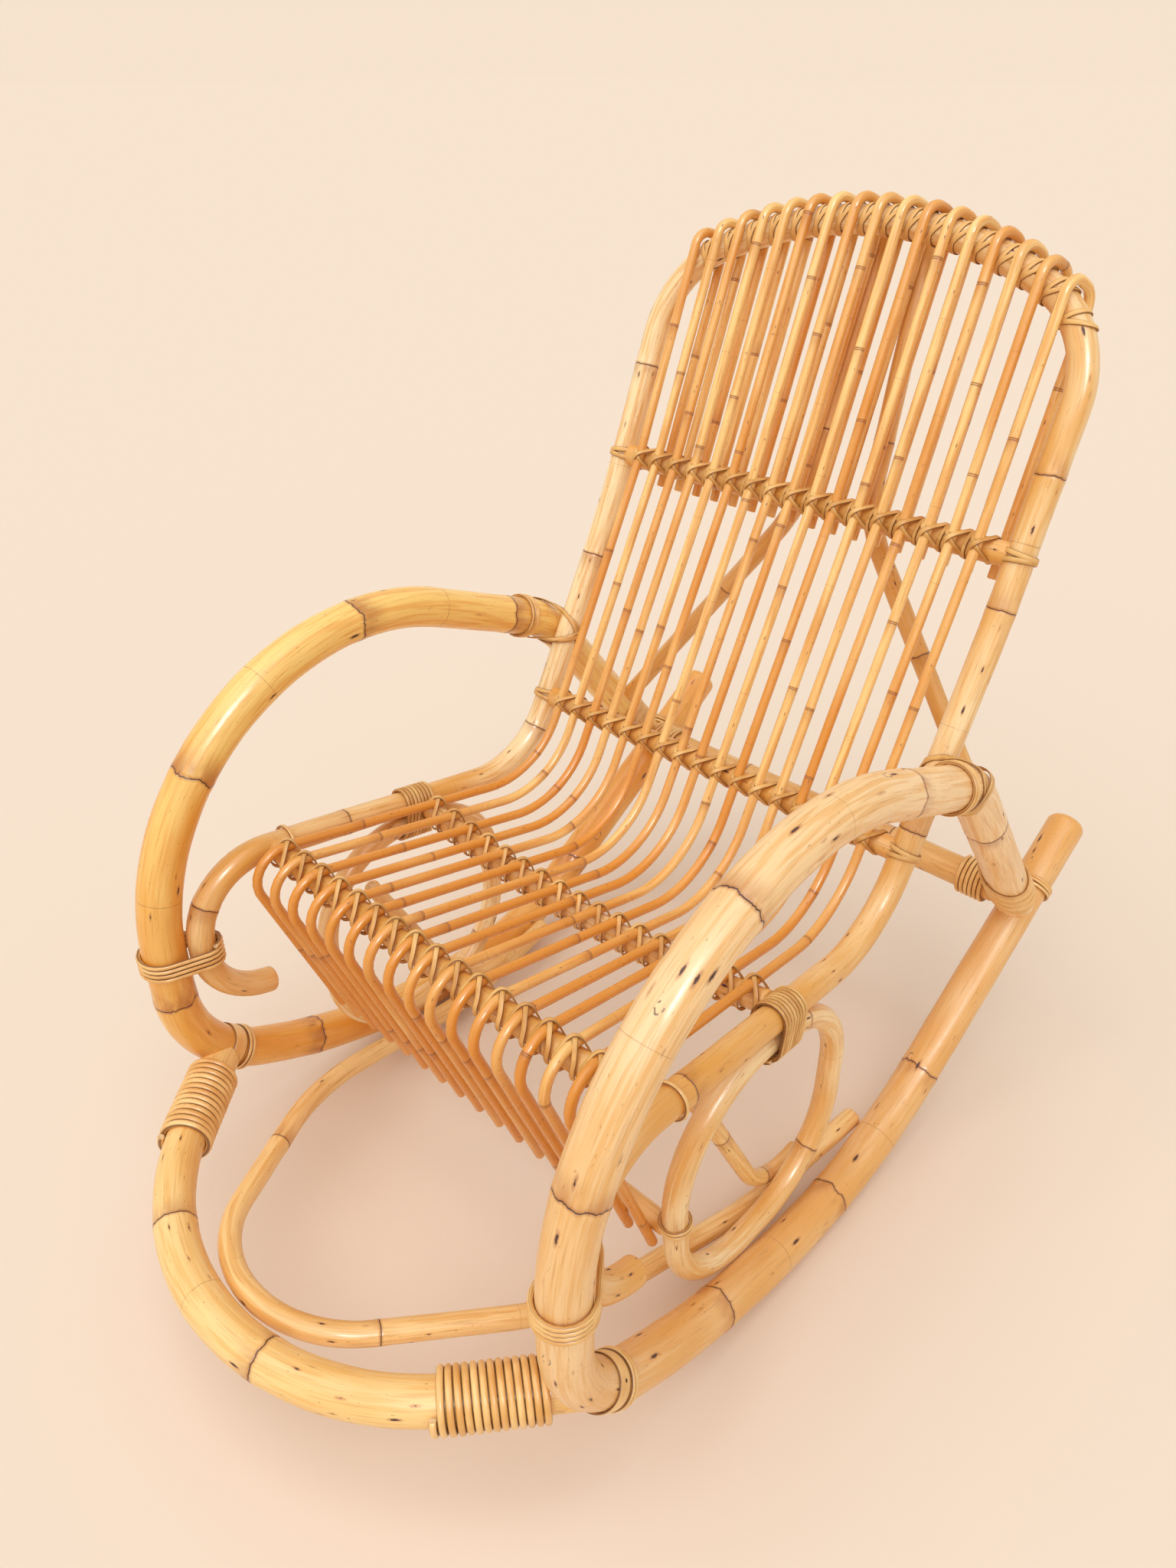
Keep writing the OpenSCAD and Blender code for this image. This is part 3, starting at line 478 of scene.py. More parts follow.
class Paintbox:
    """Makes each finish once."""

    def __init__(self) -> None:
        """Starts with no finish made."""
        self.made: dict[str, bpy.types.Material] = {}

    def of(self, finish: PoleSkin | CaneSkin | CutEnd | NailHead) -> bpy.types.Material:
        """The material of a finish."""
        if finish.name not in self.made:
            self.made[finish.name] = finish.material()
        return self.made[finish.name]


@dataclass(frozen=True)
class Stop:
    """One place along a centre line, with the directions of the section there."""

    point: Vector
    along: Vector
    out: Vector
    far: float

    @property
    def across(self) -> Vector:
        """The direction across the section."""
        return self.along.cross(self.out)


@dataclass(frozen=True)
class Leg:
    """A straight or evenly bent piece of a centre line, and how far along the line it begins."""

    begun: float
    start: Vector
    way: Vector
    axis: Vector = Vector()
    radius: float = 0.0


class Route:
    """A centre line through corners, each rounded with its own bend."""

    def __init__(self, corners: Sequence[Vector], radii: Sequence[float], closed: bool = False) -> None:
        """Works out the straight legs and the bends.

        Args:
            corners: The corners, in metres.
            radii: The bend radius at each corner, in metres, 0 at the ends.
            closed: Whether the line comes back to its first corner.
        """
        count = len(corners)
        runs = count if closed else count - 1
        ways = [(corners[(i + 1) % count] - corners[i]).normalized() for i in range(runs)]
        cuts = [0.0] * count
        for i, radius in enumerate(radii):
            if radius > 0:
                cuts[i] = radius * math.tan(ways[i - 1].angle(ways[i % runs]) / 2)
        self.legs: list[Leg] = []
        self.length = 0.0
        for i, way in enumerate(ways):
            j = (i + 1) % count
            start, begin = corners[i] + way * cuts[i], corners[j] - way * cuts[j]
            run = (begin - start).dot(way)
            if run > 1e-6:
                self.legs.append(Leg(self.length, start, way))
                self.length += run
            if radii[j] > 0:
                ahead = ways[(i + 1) % runs]
                self.legs.append(Leg(self.length, begin, way, way.cross(ahead).normalized(), radii[j]))
                self.length += radii[j] * way.angle(ahead)

    def at(self, far: float) -> tuple[Vector, Vector]:
        """The point and the direction at a distance along the line.

        Args:
            far: Distance from the start, in metres.

        Returns:
            The point and the direction.
        """
        leg = [leg for leg in self.legs if leg.begun <= far + 1e-9 or leg is self.legs[0]][-1]
        run = far - leg.begun
        if leg.radius == 0.0:
            return leg.start + leg.way * run, leg.way.copy()
        centre = leg.start + leg.axis.cross(leg.way) * leg.radius
        spin = Quaternion(leg.axis, run / leg.radius)
        return centre + spin @ (leg.start - centre), spin @ leg.way

    def stops(self, distances: Sequence[float], out: Vector) -> list[Stop]:
        """Places along the line whose sections don't twist.

        Args:
            distances: Distances from the start, rising.
            out: Where the section's outward direction starts.

        Returns:
            The places.
        """
        made: list[Stop] = []
        for far in distances:
            point, way = self.at(far)
            out = (out - way * out.dot(way)).normalized()
            made.append(Stop(point, way, out, far))
        return made


def strand(points: Sequence[Vector], outs: Sequence[Vector], closed: bool = True) -> list[Stop]:
    """Places along a strand of cane that lies on something.

    Args:
        points: Points of its centre line.
        outs: Directions away from what it lies on, one for each point.
        closed: Whether the strand comes back to its start.

    Returns:
        The places.
    """
    made, far, count = [], 0.0, len(points)
    for i, point in enumerate(points):
        before = points[i - 1] if closed or i > 0 else point
        after = points[(i + 1) % count] if closed or i + 1 < count else point
        way = (after - before).normalized()
        out = (outs[i] - way * outs[i].dot(way)).normalized()
        if i:
            far += (point - points[i - 1]).length
        made.append(Stop(point, way, out, far))
    return made


def flat(width: float, thick: float) -> Section:
    """The section of flat cane with rounded edges, width and thickness in metres."""

    def section(_far: float, turn: float) -> tuple[float, float]:
        """Where the skin is at a turn, across and out."""
        c, s = math.cos(turn), math.sin(turn)
        across, out = (math.copysign(abs(part) ** FLATNESS, part) for part in (c, s))
        return width / 2 * across, thick / 2 * out

    return section


def add_object(name: str, data: bpy.types.ID) -> bpy.types.Object:
    """Puts a new object into the scene, at the origin."""
    made = bpy.data.objects.new(name, data)
    bpy.context.scene.collection.objects.link(made)
    return made


def add_mesh(name: str, mesh: bmesh.types.BMesh, materials: Sequence[bpy.types.Material]) -> bpy.types.Object:
    """Turns a mesh into an object.

    Args:
        name: Name of the object.
        mesh: The mesh, which is freed.
        materials: Its finishes.

    Returns:
        The object.
    """
    data = bpy.data.meshes.new(name)
    mesh.to_mesh(data)
    mesh.free()
    for material in materials:
        data.materials.append(material)
    return add_object(name, data)


def round_section(radius: float) -> Section:
    """A round section of a radius in metres."""
    return lambda _far, turn: (radius * math.cos(turn), radius * math.sin(turn))


class Skin:
    """A mesh that grows by sweeping sections, with the attributes that the finishes read."""

    def __init__(self) -> None:
        """Starts an empty mesh."""
        self.mesh = bmesh.new()
        layers = self.mesh.verts.layers
        self.turn = layers.float.new("turn")
        self.ring = layers.float.new("ring")
        self.tone = layers.float.new("tone")
        self.place = layers.float_vector.new("skin")

    def sweep(
        self,
        stops: Sequence[Stop],
        section: Section,
        sides: int,
        closed: bool = False,
        rings: Sequence[float] = (),
        tone: Callable[[float], float] = lambda _far: 0.5,
        seed: float = 0.0,
    ) -> None:
        """Sweeps a section along a line.

        Args:
            stops: The places along the line.
            section: The section at a distance and a turn, across and out.
            sides: Sides of the section.
            closed: Whether the last place joins the first.
            rings: Distances of the node rings.
            tone: How deep the colour is at a distance.
            seed: Moves the pattern to another place.
        """
        mesh = self.mesh
        circle = bmesh.ops.create_circle(mesh, cap_ends=False, segments=sides, radius=1.0)["verts"]
        for vert in circle:
            vert[self.turn] = math.atan2(vert.co.y, vert.co.x)
        ring = list(circle)
        edges = list({edge for vert in ring for edge in vert.link_edges})
        first = edges
        for number, stop in enumerate(stops):
            if number:
                grown = bmesh.ops.extrude_edge_only(mesh, edges=edges)["geom"]
                ring = [item for item in grown if isinstance(item, bmesh.types.BMVert)]
                edges = [item for item in grown if isinstance(item, bmesh.types.BMEdge)]
            near = min((stop.far - at for at in rings), key=abs, default=1.0)
            shade = tone(stop.far)
            for vert in ring:
                across, out = section(stop.far, vert[self.turn])
                vert.co = stop.point + stop.across * across + stop.out * out
                vert[self.ring] = near
                vert[self.tone] = shade
                vert[self.place] = Vector((across + seed, out + seed, stop.far + seed * 7))
        if closed:
            bmesh.ops.bridge_loops(mesh, edges=edges + first)
        else:
            for rim in (edges, first):
                for face in bmesh.ops.edgeloop_fill(mesh, edges=rim)["faces"]:
                    face.material_index = 1

    def cane(
        self, stops: Sequence[Stop], width: float, thick: float, sides: int, tone: float, seed: float
    ) -> None:
        """Adds a closed strand of flat cane.

        Args:
            stops: The places along the strand.
            width: Its width in millimetres.
            thick: Its thickness in millimetres.
            sides: Sides of its section.
            tone: How deep its colour is.
            seed: Moves the pattern to another place.
        """
        self.sweep(stops, flat(width * MM, thick * MM), sides, True, tone=lambda _far: tone, seed=seed)

    def object(self, name: str, materials: Sequence[bpy.types.Material]) -> bpy.types.Object:
        """Turns the mesh into an object.

        Args:
            name: Name of the object.
            materials: Its finishes.

        Returns:
            The object, at the origin.
        """
        bmesh.ops.recalc_face_normals(self.mesh, faces=self.mesh.faces)
        for face in self.mesh.faces:
            face.smooth = len(face.verts) < 5
            face.material_index = min(face.material_index, len(materials) - 1)
        return add_mesh(name, self.mesh, materials)


def hand_in(piece: bpy.types.Object, slot: Slot, *nodes: str) -> None:
    """Fixes a piece to the chair, in place of its solids.

    Args:
        piece: The piece.
        slot: Not used.
        *nodes: The nodes that it stands for.
    """
    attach(piece, "root")
    if nodes:
        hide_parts(*nodes)
    LOG.info("%s: %d faces", piece.name, len(piece.data.polygons))


@dataclass(frozen=True)
class Hoop:
    """A closed round of flat cane on a pole, sizes in millimetres.

    It goes round in the plane of the first and the second direction, and moves along the way by the
    shift and by the slope times the sine of the turn and the phase.
    """

    centre: Vector
    first: Vector
    second: Vector
    way: Vector
    size: float
    width: float
    thick: float
    shift: float = 0.0
    slope: float = 0.0
    phase: float = 0.0
    level: bool = False
    points: int = 40
    sides: int = 8

    def wind(self, skin: Skin, tone: float, seed: float) -> None:
        """Adds the round to a mesh.

        Args:
            skin: The mesh.
            tone: How deep its colour is.
            seed: Moves the pattern to another place.
        """
        points, outs = [], []
        for i in range(self.points):
            turn = i * math.tau / self.points
            off = (self.first * math.cos(turn) + self.second * math.sin(turn)) * self.size * MM
            off += self.way * (self.shift + self.slope * math.sin(turn + self.phase)) * MM
            points.append(self.centre + off)
            outs.append(off - self.way * off.dot(self.way) if self.level else off)
        skin.cane(strand(points, outs), self.width, self.thick, self.sides, tone, seed)


@dataclass(frozen=True)
class Pole:
    """A bent pole with node rings, a little uneven along its length, and cut ends.

    Its corners and rings are in metres, and its other sizes in millimetres. A ring is a ridge with a
    groove in it, each with its height and the square of its width.
    """

    name: str
    node: str
    corners: Points
    radii: Sizes
    radius: float
    finish: PoleSkin
    slot: Slot
    rings: Sizes = ()
    closed: bool = False
    sides: int = 28
    rounding: float = 2.5
    tone: float = 0.5
    tones: Tones = ()
    seed: float = 0.0
    step: float = 9.0
    closest: float = 0.35
    ring_steps: Sizes = (-7, -4.5, -3, -1.8, -0.9, 0, 0.9, 1.8, 3, 4.5, 7)
    end_turns: Sizes = (0.0, 0.35, 0.7, 1.05, 1.4)
    end_step: float = 6.0
    ridge: tuple[float, float] = (0.55, 40.0)
    groove: tuple[float, float] = (0.35, 1.6)
    ring_reach: float = 20.0
    stout: float = 14.0

    def start(self, route: Route) -> Vector:
        """Where the outward direction of the first section points."""
        steep = abs(route.at(0)[1].z) >= 0.9
        return Vector((0.2, 1.0, 0.0)) if steep else Vector((0.3, 0.2, 1.0))

    def distances(self, route: Route) -> list[float]:
        """Distances of the sections, closer together at the ends and the node rings."""
        length = route.length
        count = round(length / (self.step * MM))
        plain = [i * length / count for i in range(count + 1)]
        close = [at + shift * MM for at in self.rings for shift in self.ring_steps]
        if self.closed:
            plain = plain[:-1]
        else:
            ends = [self.rounding * MM * (1 - math.cos(a)) for a in self.end_turns]
            ends.append(self.end_step * MM)
            close += [*ends, *(length - end for end in ends)]
        keep: list[float] = []
        for far in sorted({round(d, 6) for d in plain + close if 0 <= d <= length}):
            if not keep or far - keep[-1] > self.closest * MM:
                keep.append(far)
        return keep

    def swell(self, far: float) -> float:
        """How much the radius grows near a node ring, in metres, less on poles that aren't stout."""
        (rise, wide), (fall, slim) = self.ridge, self.groove
        grown = 0.0
        for ring in self.rings:
            off = (far - ring) / MM
            if abs(off) < self.ring_reach:
                grown += rise * math.exp(-off * off / wide) - fall * math.exp(-off * off / slim)
        return grown * MM * min(1, self.radius / self.stout)

    def section(self, length: float) -> Section:
        """The round section, which swells at the node rings and rounds off at the ends."""
        radius, edge = self.radius * MM, self.rounding * MM

        def at(far: float, turn: float) -> tuple[float, float]:
            """Where the skin is at a distance and a turn, across and out."""
            size = 1 + 0.007 * math.sin(far * 31 + self.seed * 5) + 0.005 * math.sin(far * 83 + self.seed)
            size *= radius * (1 + 0.006 * math.sin(2 * turn + far * 9))
            size += self.swell(far)
            end = min(far, length - far)
            if not self.closed and end < edge:
                size -= edge * (1 - math.sqrt(max(0.0, 1 - (1 - end / edge) ** 2)))
            return size * math.cos(turn), size * math.sin(turn)

        return at

    def shade(self, far: float, _length: float) -> float:
        """How deep the colour is at a distance, between the tones that are given."""
        runs = self.tones or ((0.0, self.tone),)
        before = runs[0]
        for after in runs:
            if far < after[0]:
                share = (far - before[0]) / (after[0] - before[0])
                return before[1] + (after[1] - before[1]) * share
            before = after
        return before[1]

    def build(self, paints: Paintbox) -> None:
        """Builds and dresses the pole.

        Args:
            paints: Where the finishes come from.
        """
        route = Route(self.corners, [r * MM for r in self.radii], self.closed)
        skin = Skin()
        stops = route.stops(self.distances(route), self.start(route))
        skin.sweep(stops, self.section(route.length), self.sides, self.closed, self.rings,
                   lambda far: self.shade(far, route.length), self.seed)
        hand_in(skin.object(self.name, [paints.of(self.finish), paints.of(END_GRAIN)]), self.slot, self.node)


@dataclass(frozen=True)
class Rod(Pole):
    """A thin rod, with more sections in its tight bends, and deeper in colour toward its front."""

    bend_step: float = 3.0
    bend_steps: int = 16
    tight: float = 30.0

    def start(self, _route: Route) -> Vector:
        """Where the outward direction of the first section points."""
        return Vector((1, 0, 0))

    def distances(self, route: Route) -> list[float]:
        """Distances of the sections, closer together in the tight bends too."""
        bends = [leg.begun + i * self.bend_step * MM for leg in route.legs
                 if 0 < leg.radius < self.tight * MM for i in range(self.bend_steps)]
        near = super().distances(route) + [b for b in bends if b < route.length]
        return sorted({round(far, 5) for far in near})

    def shade(self, far: float, length: float) -> float:
        """How deep the colour is, which grows low on the back and again on the seat."""
        low, seat = (min(1.0, max(0.0, (far / length - start) * 6)) for start in (0.36, 0.57))
        return self.tone - 0.12 + 0.22 * low + 0.42 * seat


@dataclass(frozen=True)
class ArmAndRunner:
    """One pole that is the runner, the front upright and the arm of one side."""

    radius: float = 22.0
    corners: Points = millimetres(
        (282, 519.2, 273.3), (282, 129.2, 22), (282, -132.8, 22), (282, -366.8, 143.8), (282, -366.8, 702.1),
        (282, 190.2, 477.1), (282, 411.4, 203.9))
    radii: Sizes = (0, 365.93, 630.57, 150, 280, 120, 0)
    foot_cut: float = 9.0
    left_rings: Sizes = (0.36, 0.548, 0.754, 1.208, 1.442, 1.682, 1.925)
    right_rings: Sizes = (0.34, 0.6, 0.812, 1.046, 1.304, 1.536, 1.76)
    left_tones: Tones = ((0.0, 0.75), (0.9, 0.65), (1.2, 0.35), (1.6, 0.0), (2.0, 0.1))
    # Along the right pole the tone is its own colour up to about 1.2 m; the pale stretch from about 1.5 m, on
    # the arm, is painted light where that arm is lit.
    right_tones_and_painted_light: Tones = ((0.0, 0.7), (1.2, 0.65), (1.5, -0.1))

    def build(self, side: Side, paints: Paintbox) -> None:
        """Builds the pole of one side.

        Args:
            side: Side of the chair.
            paints: Where the finishes come from.
        """
        corners = [side.turned(corner) for corner in self.corners]
        last = corners[-1] - corners[-2]
        corners[-1] = corners[-2] + last * (1 - self.foot_cut * MM / last.length)
        finish, rings, tones, seed = (
            (PALE_ARM, self.left_rings, self.left_tones, 1.3) if side is Side.LEFT
            else (AMBER_ARM, self.right_rings, self.right_tones_and_painted_light, 4.1))
        Pole(f"arm_and_runner_pole_{side.word}", f"arm_runner_{side.word}", tuple(corners), self.radii,
             self.radius, finish, Slot.PALE_POLE, rings, sides=36, rounding=10.0, tones=tones,
             seed=seed).build(paints)


@dataclass(frozen=True)
class SeatAndBackFrame:
    """The pole that runs up from one curled end, round the seat and back, to the other."""

    half: Points = millimetres(
        (265, -264.9, 200.9), (265, -333.9, 220.7), (265, -333.9, 383), (245.4, 109.2, 316.8),
        (245.4, 264.1, 607), (245.4, 368.2, 858.3))
    peak: Vector = mm(0, 410.2, 959.7)
    radii: Sizes = (0, 82, 78, 110, 900, 110)
    crown: float = 416.0
    rings: Sizes = (0.3, 0.716, 0.94, 1.066, 1.42, 1.79, 2.012, 2.232, 2.526, 2.71)
    # Tones of the frame's own colour along it, except the pale dip at 1.8 m, on the right side of the back,
    # which is painted light where that side is lit.
    tones: Tones = (
        (0.0, 0.6), (0.3, 0.75), (0.6, 0.65), (0.8, 0.5), (1.2, 0.5), (1.5, 0.2), (1.8, -0.4), (2.2, 0.0),
        (2.4, 0.6))

    def build(self, paints: Paintbox) -> None:
        """Builds the frame."""
        other = tuple(Side.RIGHT.turned(point) for point in reversed(self.half))
        Pole("seat_and_back_pole", "seat_back_frame", (*self.half, self.peak, *other),
             (*self.radii, self.crown, *reversed(self.radii)), 14.0, FRAME_SKIN, Slot.FRAME_POLE, self.rings,
             tones=self.tones, seed=2.2).build(paints)


@dataclass(frozen=True)
class LowPoles:
    """The poles below the seat: front stretcher, brace, rings, stays, rear bar and low front bar."""

    stretcher: Points = millimetres((282, -325.1, 131), (0, -661.1, 131), (-282, -325.1, 131))
    stretcher_cut: float = 16.0
    brace_half: Points = millimetres((248.4, 139.2, 41.4), (229.2, -26.8, 25.7), (199.9, -272, 82.7))
    brace_middle: Vector = mm(0, -579.8, 154.3)
    ring: Points = millimetres(
        (252.8, -210.8, 337.7), (252.8, 52.2, 298.4), (252.8, 52.2, 52), (252.8, -182.8, 52))
    stay: Points = millimetres((231.2, -144.8, 278.1), (231.2, -21.8, 46.8), (231.2, 47.9, 53.4))
    rear_bar: Vector = mm(262.5, 385.3, 236.1)
    low_bar: Vector = mm(242.5, -194.2, 168)
    struts: tuple[Points, ...] = (
        millimetres((35, 427.8, 907.8), (61, 325.9, 650.7), (270.5, 331.2, 320.7)),
        millimetres((-17, 428.2, 908.9), (-17, 325.9, 650.7), (-268, 331.2, 320.3)))

    def build(self, paints: Paintbox) -> None:
        """Builds the stretcher, the brace and the two bars.

        Args:
            paints: Where the finishes come from.
        """
        way = (self.stretcher[1] - self.stretcher[0]).normalized() * self.stretcher_cut * MM
        ends = self.stretcher[0] + way, Side.RIGHT.turned(self.stretcher[0] + way)
        Pole("front_stretcher_pole", "front_stretcher", (ends[0], self.stretcher[1], ends[1]), (0, 270, 0),
             20.0, STRETCHER_SKIN, Slot.PALE_POLE, (0.274, 0.452), sides=32, tone=0.3, seed=3.0).build(paints)
        other = tuple(Side.RIGHT.turned(point) for point in reversed(self.brace_half))
        Pole("inner_brace_pole", "inner_brace", (*self.brace_half, self.brace_middle, *other),
             (0, 300, 300, 120, 300, 300, 0), 11.0, THIN_SKIN, Slot.THIN_POLE, (0.346, 0.596, 0.93, 1.2),
             sides=24, tone=0.25, seed=5.0, rounding=4.0).build(paints)
        for name, node, end, radius, rings in (
            ("rear_cross_bar_pole", "rear_crossbar", self.rear_bar, 18.0, (0.14, 0.36)),
            ("low_front_bar_pole", "apron_bar", self.low_bar, 10.0, (0.12, 0.33)),
        ):
            Pole(name, node, (end, Side.RIGHT.turned(end)), (0, 0), radius, THIN_SKIN, Slot.THIN_POLE, rings,
                 tone=0.6, seed=radius).build(paints)
        for side, strut in zip(Side, self.struts, strict=True):
            ring, stay = (tuple(side.turned(point) for point in points) for points in (self.ring, self.stay))
            sign, thin = side.value, (THIN_SKIN, Slot.THIN_POLE)
            Pole(f"back_strut_pole_{side.word}", f"back_strut_{side.word}", strut, (0, 150, 0), 10.5, *thin,
                 (0.2, 0.43), sides=20, tone=0.6, seed=sign * 3).build(paints)
            Pole(f"side_ring_pole_{side.word}", f"side_ring_{side.word}", ring, (112, 112, 108, 108), 12.0,
                 FRAME_SKIN, Slot.THIN_POLE, (0.05, 0.3, 0.62), closed=True, sides=24, tone=0.45,
                 seed=sign).build(paints)
            Pole(f"inner_stay_pole_{side.word}", f"inner_stay_{side.word}", stay, (0, 90, 0), 9.0, *thin,
                 (0.086, 0.248), sides=20, tone=0.3, seed=sign * 2).build(paints)


@dataclass(frozen=True)
class Bar:
    """A cross bar of the seat or back, straight or sagging, between two side poles."""

    name: str
    node: str
    end: Vector
    sag: float = 0.0
    radius: float = 12.0
    cut: float = 8.0

    def axis(self, x: float) -> tuple[Vector, Vector]:
        """The point of its axis at x, in metres, and its direction there."""
        if self.sag == 0:
            return Vector((x, self.end.y, self.end.z)), Vector((1, 0, 0))
        half, sag = self.end.x, self.sag * MM
        arc = (half * half + sag * sag) / (2 * sag)
        drop = math.sqrt(arc * arc - x * x) - math.sqrt(arc * arc - half * half)
        way = Vector((math.sqrt(arc * arc - x * x), 0, x)).normalized()
        return Vector((x, self.end.y, self.end.z - drop)), way

    def build(self, paints: Paintbox, tone: float) -> None:
        """Builds the bar.

        Args:
            paints: Where the finishes come from.
            tone: How deep its colour is.
        """
        from_x = self.end.x - self.cut * MM
        end, way = self.axis(from_x)
        corners, radii = [end, Side.RIGHT.turned(end)], [0.0, 0.0]
        if self.sag:
            turn = math.atan2(way.z, way.x)
            corners.insert(1, Vector((0, end.y, end.z - from_x * math.tan(turn))))
            radii.insert(1, from_x / math.sin(turn) / MM * ALMOST)
        Pole(self.name, self.node, tuple(corners), tuple(radii), self.radius, FRAME_SKIN, Slot.FRAME_POLE,
             (0.11, 0.34), sides=24, tone=tone, seed=self.end.z * 9).build(paints)


UPPER_BAR = Bar("upper_back_bar_pole", "upper_back_bar", mm(245.4, 288.6, 666.1))
LOWER_BAR = Bar("lower_back_bar_pole", "lower_back_bar", mm(245.4, 153.5, 399.7))
MIDDLE_BAR = Bar("middle_seat_bar_pole", "mid_seat_bar", mm(252.5, -51.8, 340.8), sag=28.0, cut=16.0)
FRONT_BAR = Bar("front_seat_bar_pole", "front_seat_bar", mm(260.7, -238.8, 368.8), sag=10.0)


@dataclass(frozen=True)
class RodSheet:
    """The seventeen rods that are seat and back, each hooked over the arch."""

    radius: float = 5.0
    each_side: int = 8
    step: float = 26.0
    front_step: float = 29.0
    tail_step: float = 9.0
    arch: Vector = mm(245.4, 368.2, 858.3)
    back_x: float = 245.35
    crown: float = 416.0
    crown_rise: float = 24.1
    shoulder: float = 110.0
    rise: float = 67.5
    seat_back_y: float = 109.2
    front_y: float = -238.8
    nose: float = 54.0
    reach: float = 62.0
    radii: Sizes = (0, 17, 17, 250, 100, 33, 0)
    off_arch: float = 19.9
    off_bar: float = 24.2
    tail: float = 25.0
    low_bar: tuple[float, float] = (-194.2, 168.0)
    low_bar_radius: float = 10.0
    past_low_bar: float = 22.0
    first_ring: float = 0.05
    ring_gap: float = 0.21
    ring_gap_more: float = 0.06

    @property
    def numbers(self) -> range:
        """The rods' numbers, from the sitter's right to the left."""
        return range(-self.each_side, self.each_side + 1)

    def arch_height(self, x: float) -> tuple[float, float]:
        """Height of the arch above its corner, in mm, and its slope, at x mm from the middle."""
        x, lean = abs(x), math.radians(self.crown_rise)
        flat_from = self.crown * math.sin(lean)
        shoulder_x = self.back_x - self.shoulder
        if x < flat_from:
            centre = self.back_x * math.tan(lean) - self.crown / math.cos(lean)
            return centre + math.sqrt(self.crown**2 - x * x), math.asin(x / self.crown)
        if x < shoulder_x + self.shoulder * math.sin(lean):
            return (self.back_x - x) * math.tan(lean), lean
        drop, past = self.shoulder * math.tan((math.pi / 2 - lean) / 2), x - shoulder_x
        return math.sqrt(self.shoulder**2 - past**2) - drop, math.asin(past / self.shoulder)

    def spacing(self, y: float) -> float:
        """Spacing of the rods at a distance y, in mm."""
        if y > self.seat_back_y:
            return self.step
        share = (self.seat_back_y - y) / (self.seat_back_y - self.front_y + self.nose)
        return self.step + (self.front_step - self.step) * share

    def on_bar(self, bar: Bar, x: float, out: Vector) -> Vector:
        """Where the axis of a rod at x metres lies on a bar, in the direction out of the seat."""
        point, way = bar.axis(x)
        return point + out * (bar.radius + self.radius + FIT) * MM / way.x

    def over_arch(self, x: float) -> Vector:
        """Where the axis of a rod passes above the arch, x mm from the middle."""
        height, slope = self.arch_height(x)
        top = self.arch + leaning(self.rise)[0] * (height * MM + self.off_arch * MM / math.cos(slope))
        return Vector((x * MM, top.y, top.z))

    def front_end(self, nose: Vector) -> Vector:
        """The end of a rod that runs down from its nose and just clears the low front bar."""
        low = Vector((0, self.low_bar[0] * MM - nose.y, self.low_bar[1] * MM - nose.z))
        clear = (self.low_bar_radius + self.radius + FIT) * MM
        aim = math.atan2(low.z, low.y) - math.asin(clear / low.length)
        run = math.sqrt(low.length**2 - clear**2) + self.past_low_bar * MM
        return nose + Vector((0, math.cos(aim), math.sin(aim))) * run

    def corners(self, k: int) -> list[Vector]:
        """The corners of a rod, counted from the middle one, from its tail to its front end.

        Args:
            k: Number of the rod, 0 in the middle, rising to the sitter's left.

        Returns:
            The corners in metres.
        """
        front = leaning(self.rise)[1]
        off = self.off_arch * MM
        middle_x = k * self.spacing(MIDDLE_BAR.end.y / MM) * MM
        front_x = k * self.spacing(self.front_y) * MM
        chord = MIDDLE_BAR.axis(middle_x)[0] - FRONT_BAR.axis(front_x)[0]
        normal = Vector((0, -chord.z, chord.y)).normalized()
        on_front = self.on_bar(FRONT_BAR, front_x, normal)
        seat = lengthwise(self.on_bar(MIDDLE_BAR, middle_x, normal) - on_front)
        back = lengthwise(UPPER_BAR.end - LOWER_BAR.end)
        rest = UPPER_BAR.end + Vector((0, -back.z, back.y)) * (UPPER_BAR.radius + self.radius + FIT) * MM
        share = (rest.y - on_front.y) * back.z - (rest.z - on_front.z) * back.y
        corner = on_front + seat * (share / (seat.y * back.z - seat.z * back.y))
        nose = on_front - seat * self.reach * MM
        end = self.front_end(nose)
        x, tail_x = k * self.step, k * self.step + self.tail_step
        tail_from = Vector((0, UPPER_BAR.end.y, UPPER_BAR.end.z)) - front * self.off_bar * MM
        tail_top = self.over_arch(tail_x) - front * off
        tail_end = tail_from + lengthwise(tail_from - tail_top) * self.tail * MM
        corner_x, nose_x = k * self.spacing(corner.y / MM) * MM, k * self.spacing(nose.y / MM) * MM
        return [
            Vector((tail_x * MM, tail_end.y, tail_end.z)),
            tail_top,
            self.over_arch(x) + front * off,
            Vector((x * MM, rest.y, rest.z)),
            Vector((corner_x, corner.y, corner.z)),
            Vector((nose_x, nose.y, nose.z)),
            Vector((nose_x, end.y, end.z)),
        ]

    def held(self, k: int, upper: int, lower: int, y: float) -> tuple[Vector, Vector]:
        """The point of a rod between two of its corners at y, and its direction there."""
        points = self.corners(k)
        run = points[upper] - points[lower]
        return points[lower] + run * ((y - points[lower].y) / run.y), run.normalized()

    def build(self, paints: Paintbox) -> None:
        """Builds all the rods, each with its own tone and node rings.

        Args:
            paints: Where the finishes come from.
        """
        for k in self.numbers:
            number = k + self.each_side + 1
            corners = self.corners(k)
            length = Route(corners, [r * MM for r in self.radii]).length
            shift, stretch = (number * step % 1.0 for step in SPREAD)
            gap = self.ring_gap + self.ring_gap_more * stretch
            rings = (self.first_ring + (i + shift) * gap for i in range(8))
            Rod(f"seat_rod_{number:02d}", f"rod_{number:02d}", tuple(corners), self.radii, self.radius,
                ROD_SKIN, Slot.ROD, tuple(at for at in rings if END < at < length - END), sides=14,
                rounding=1.6, tone=0.42 + 0.3 * math.sin(number * 2.4), seed=number * 0.77).build(paints)


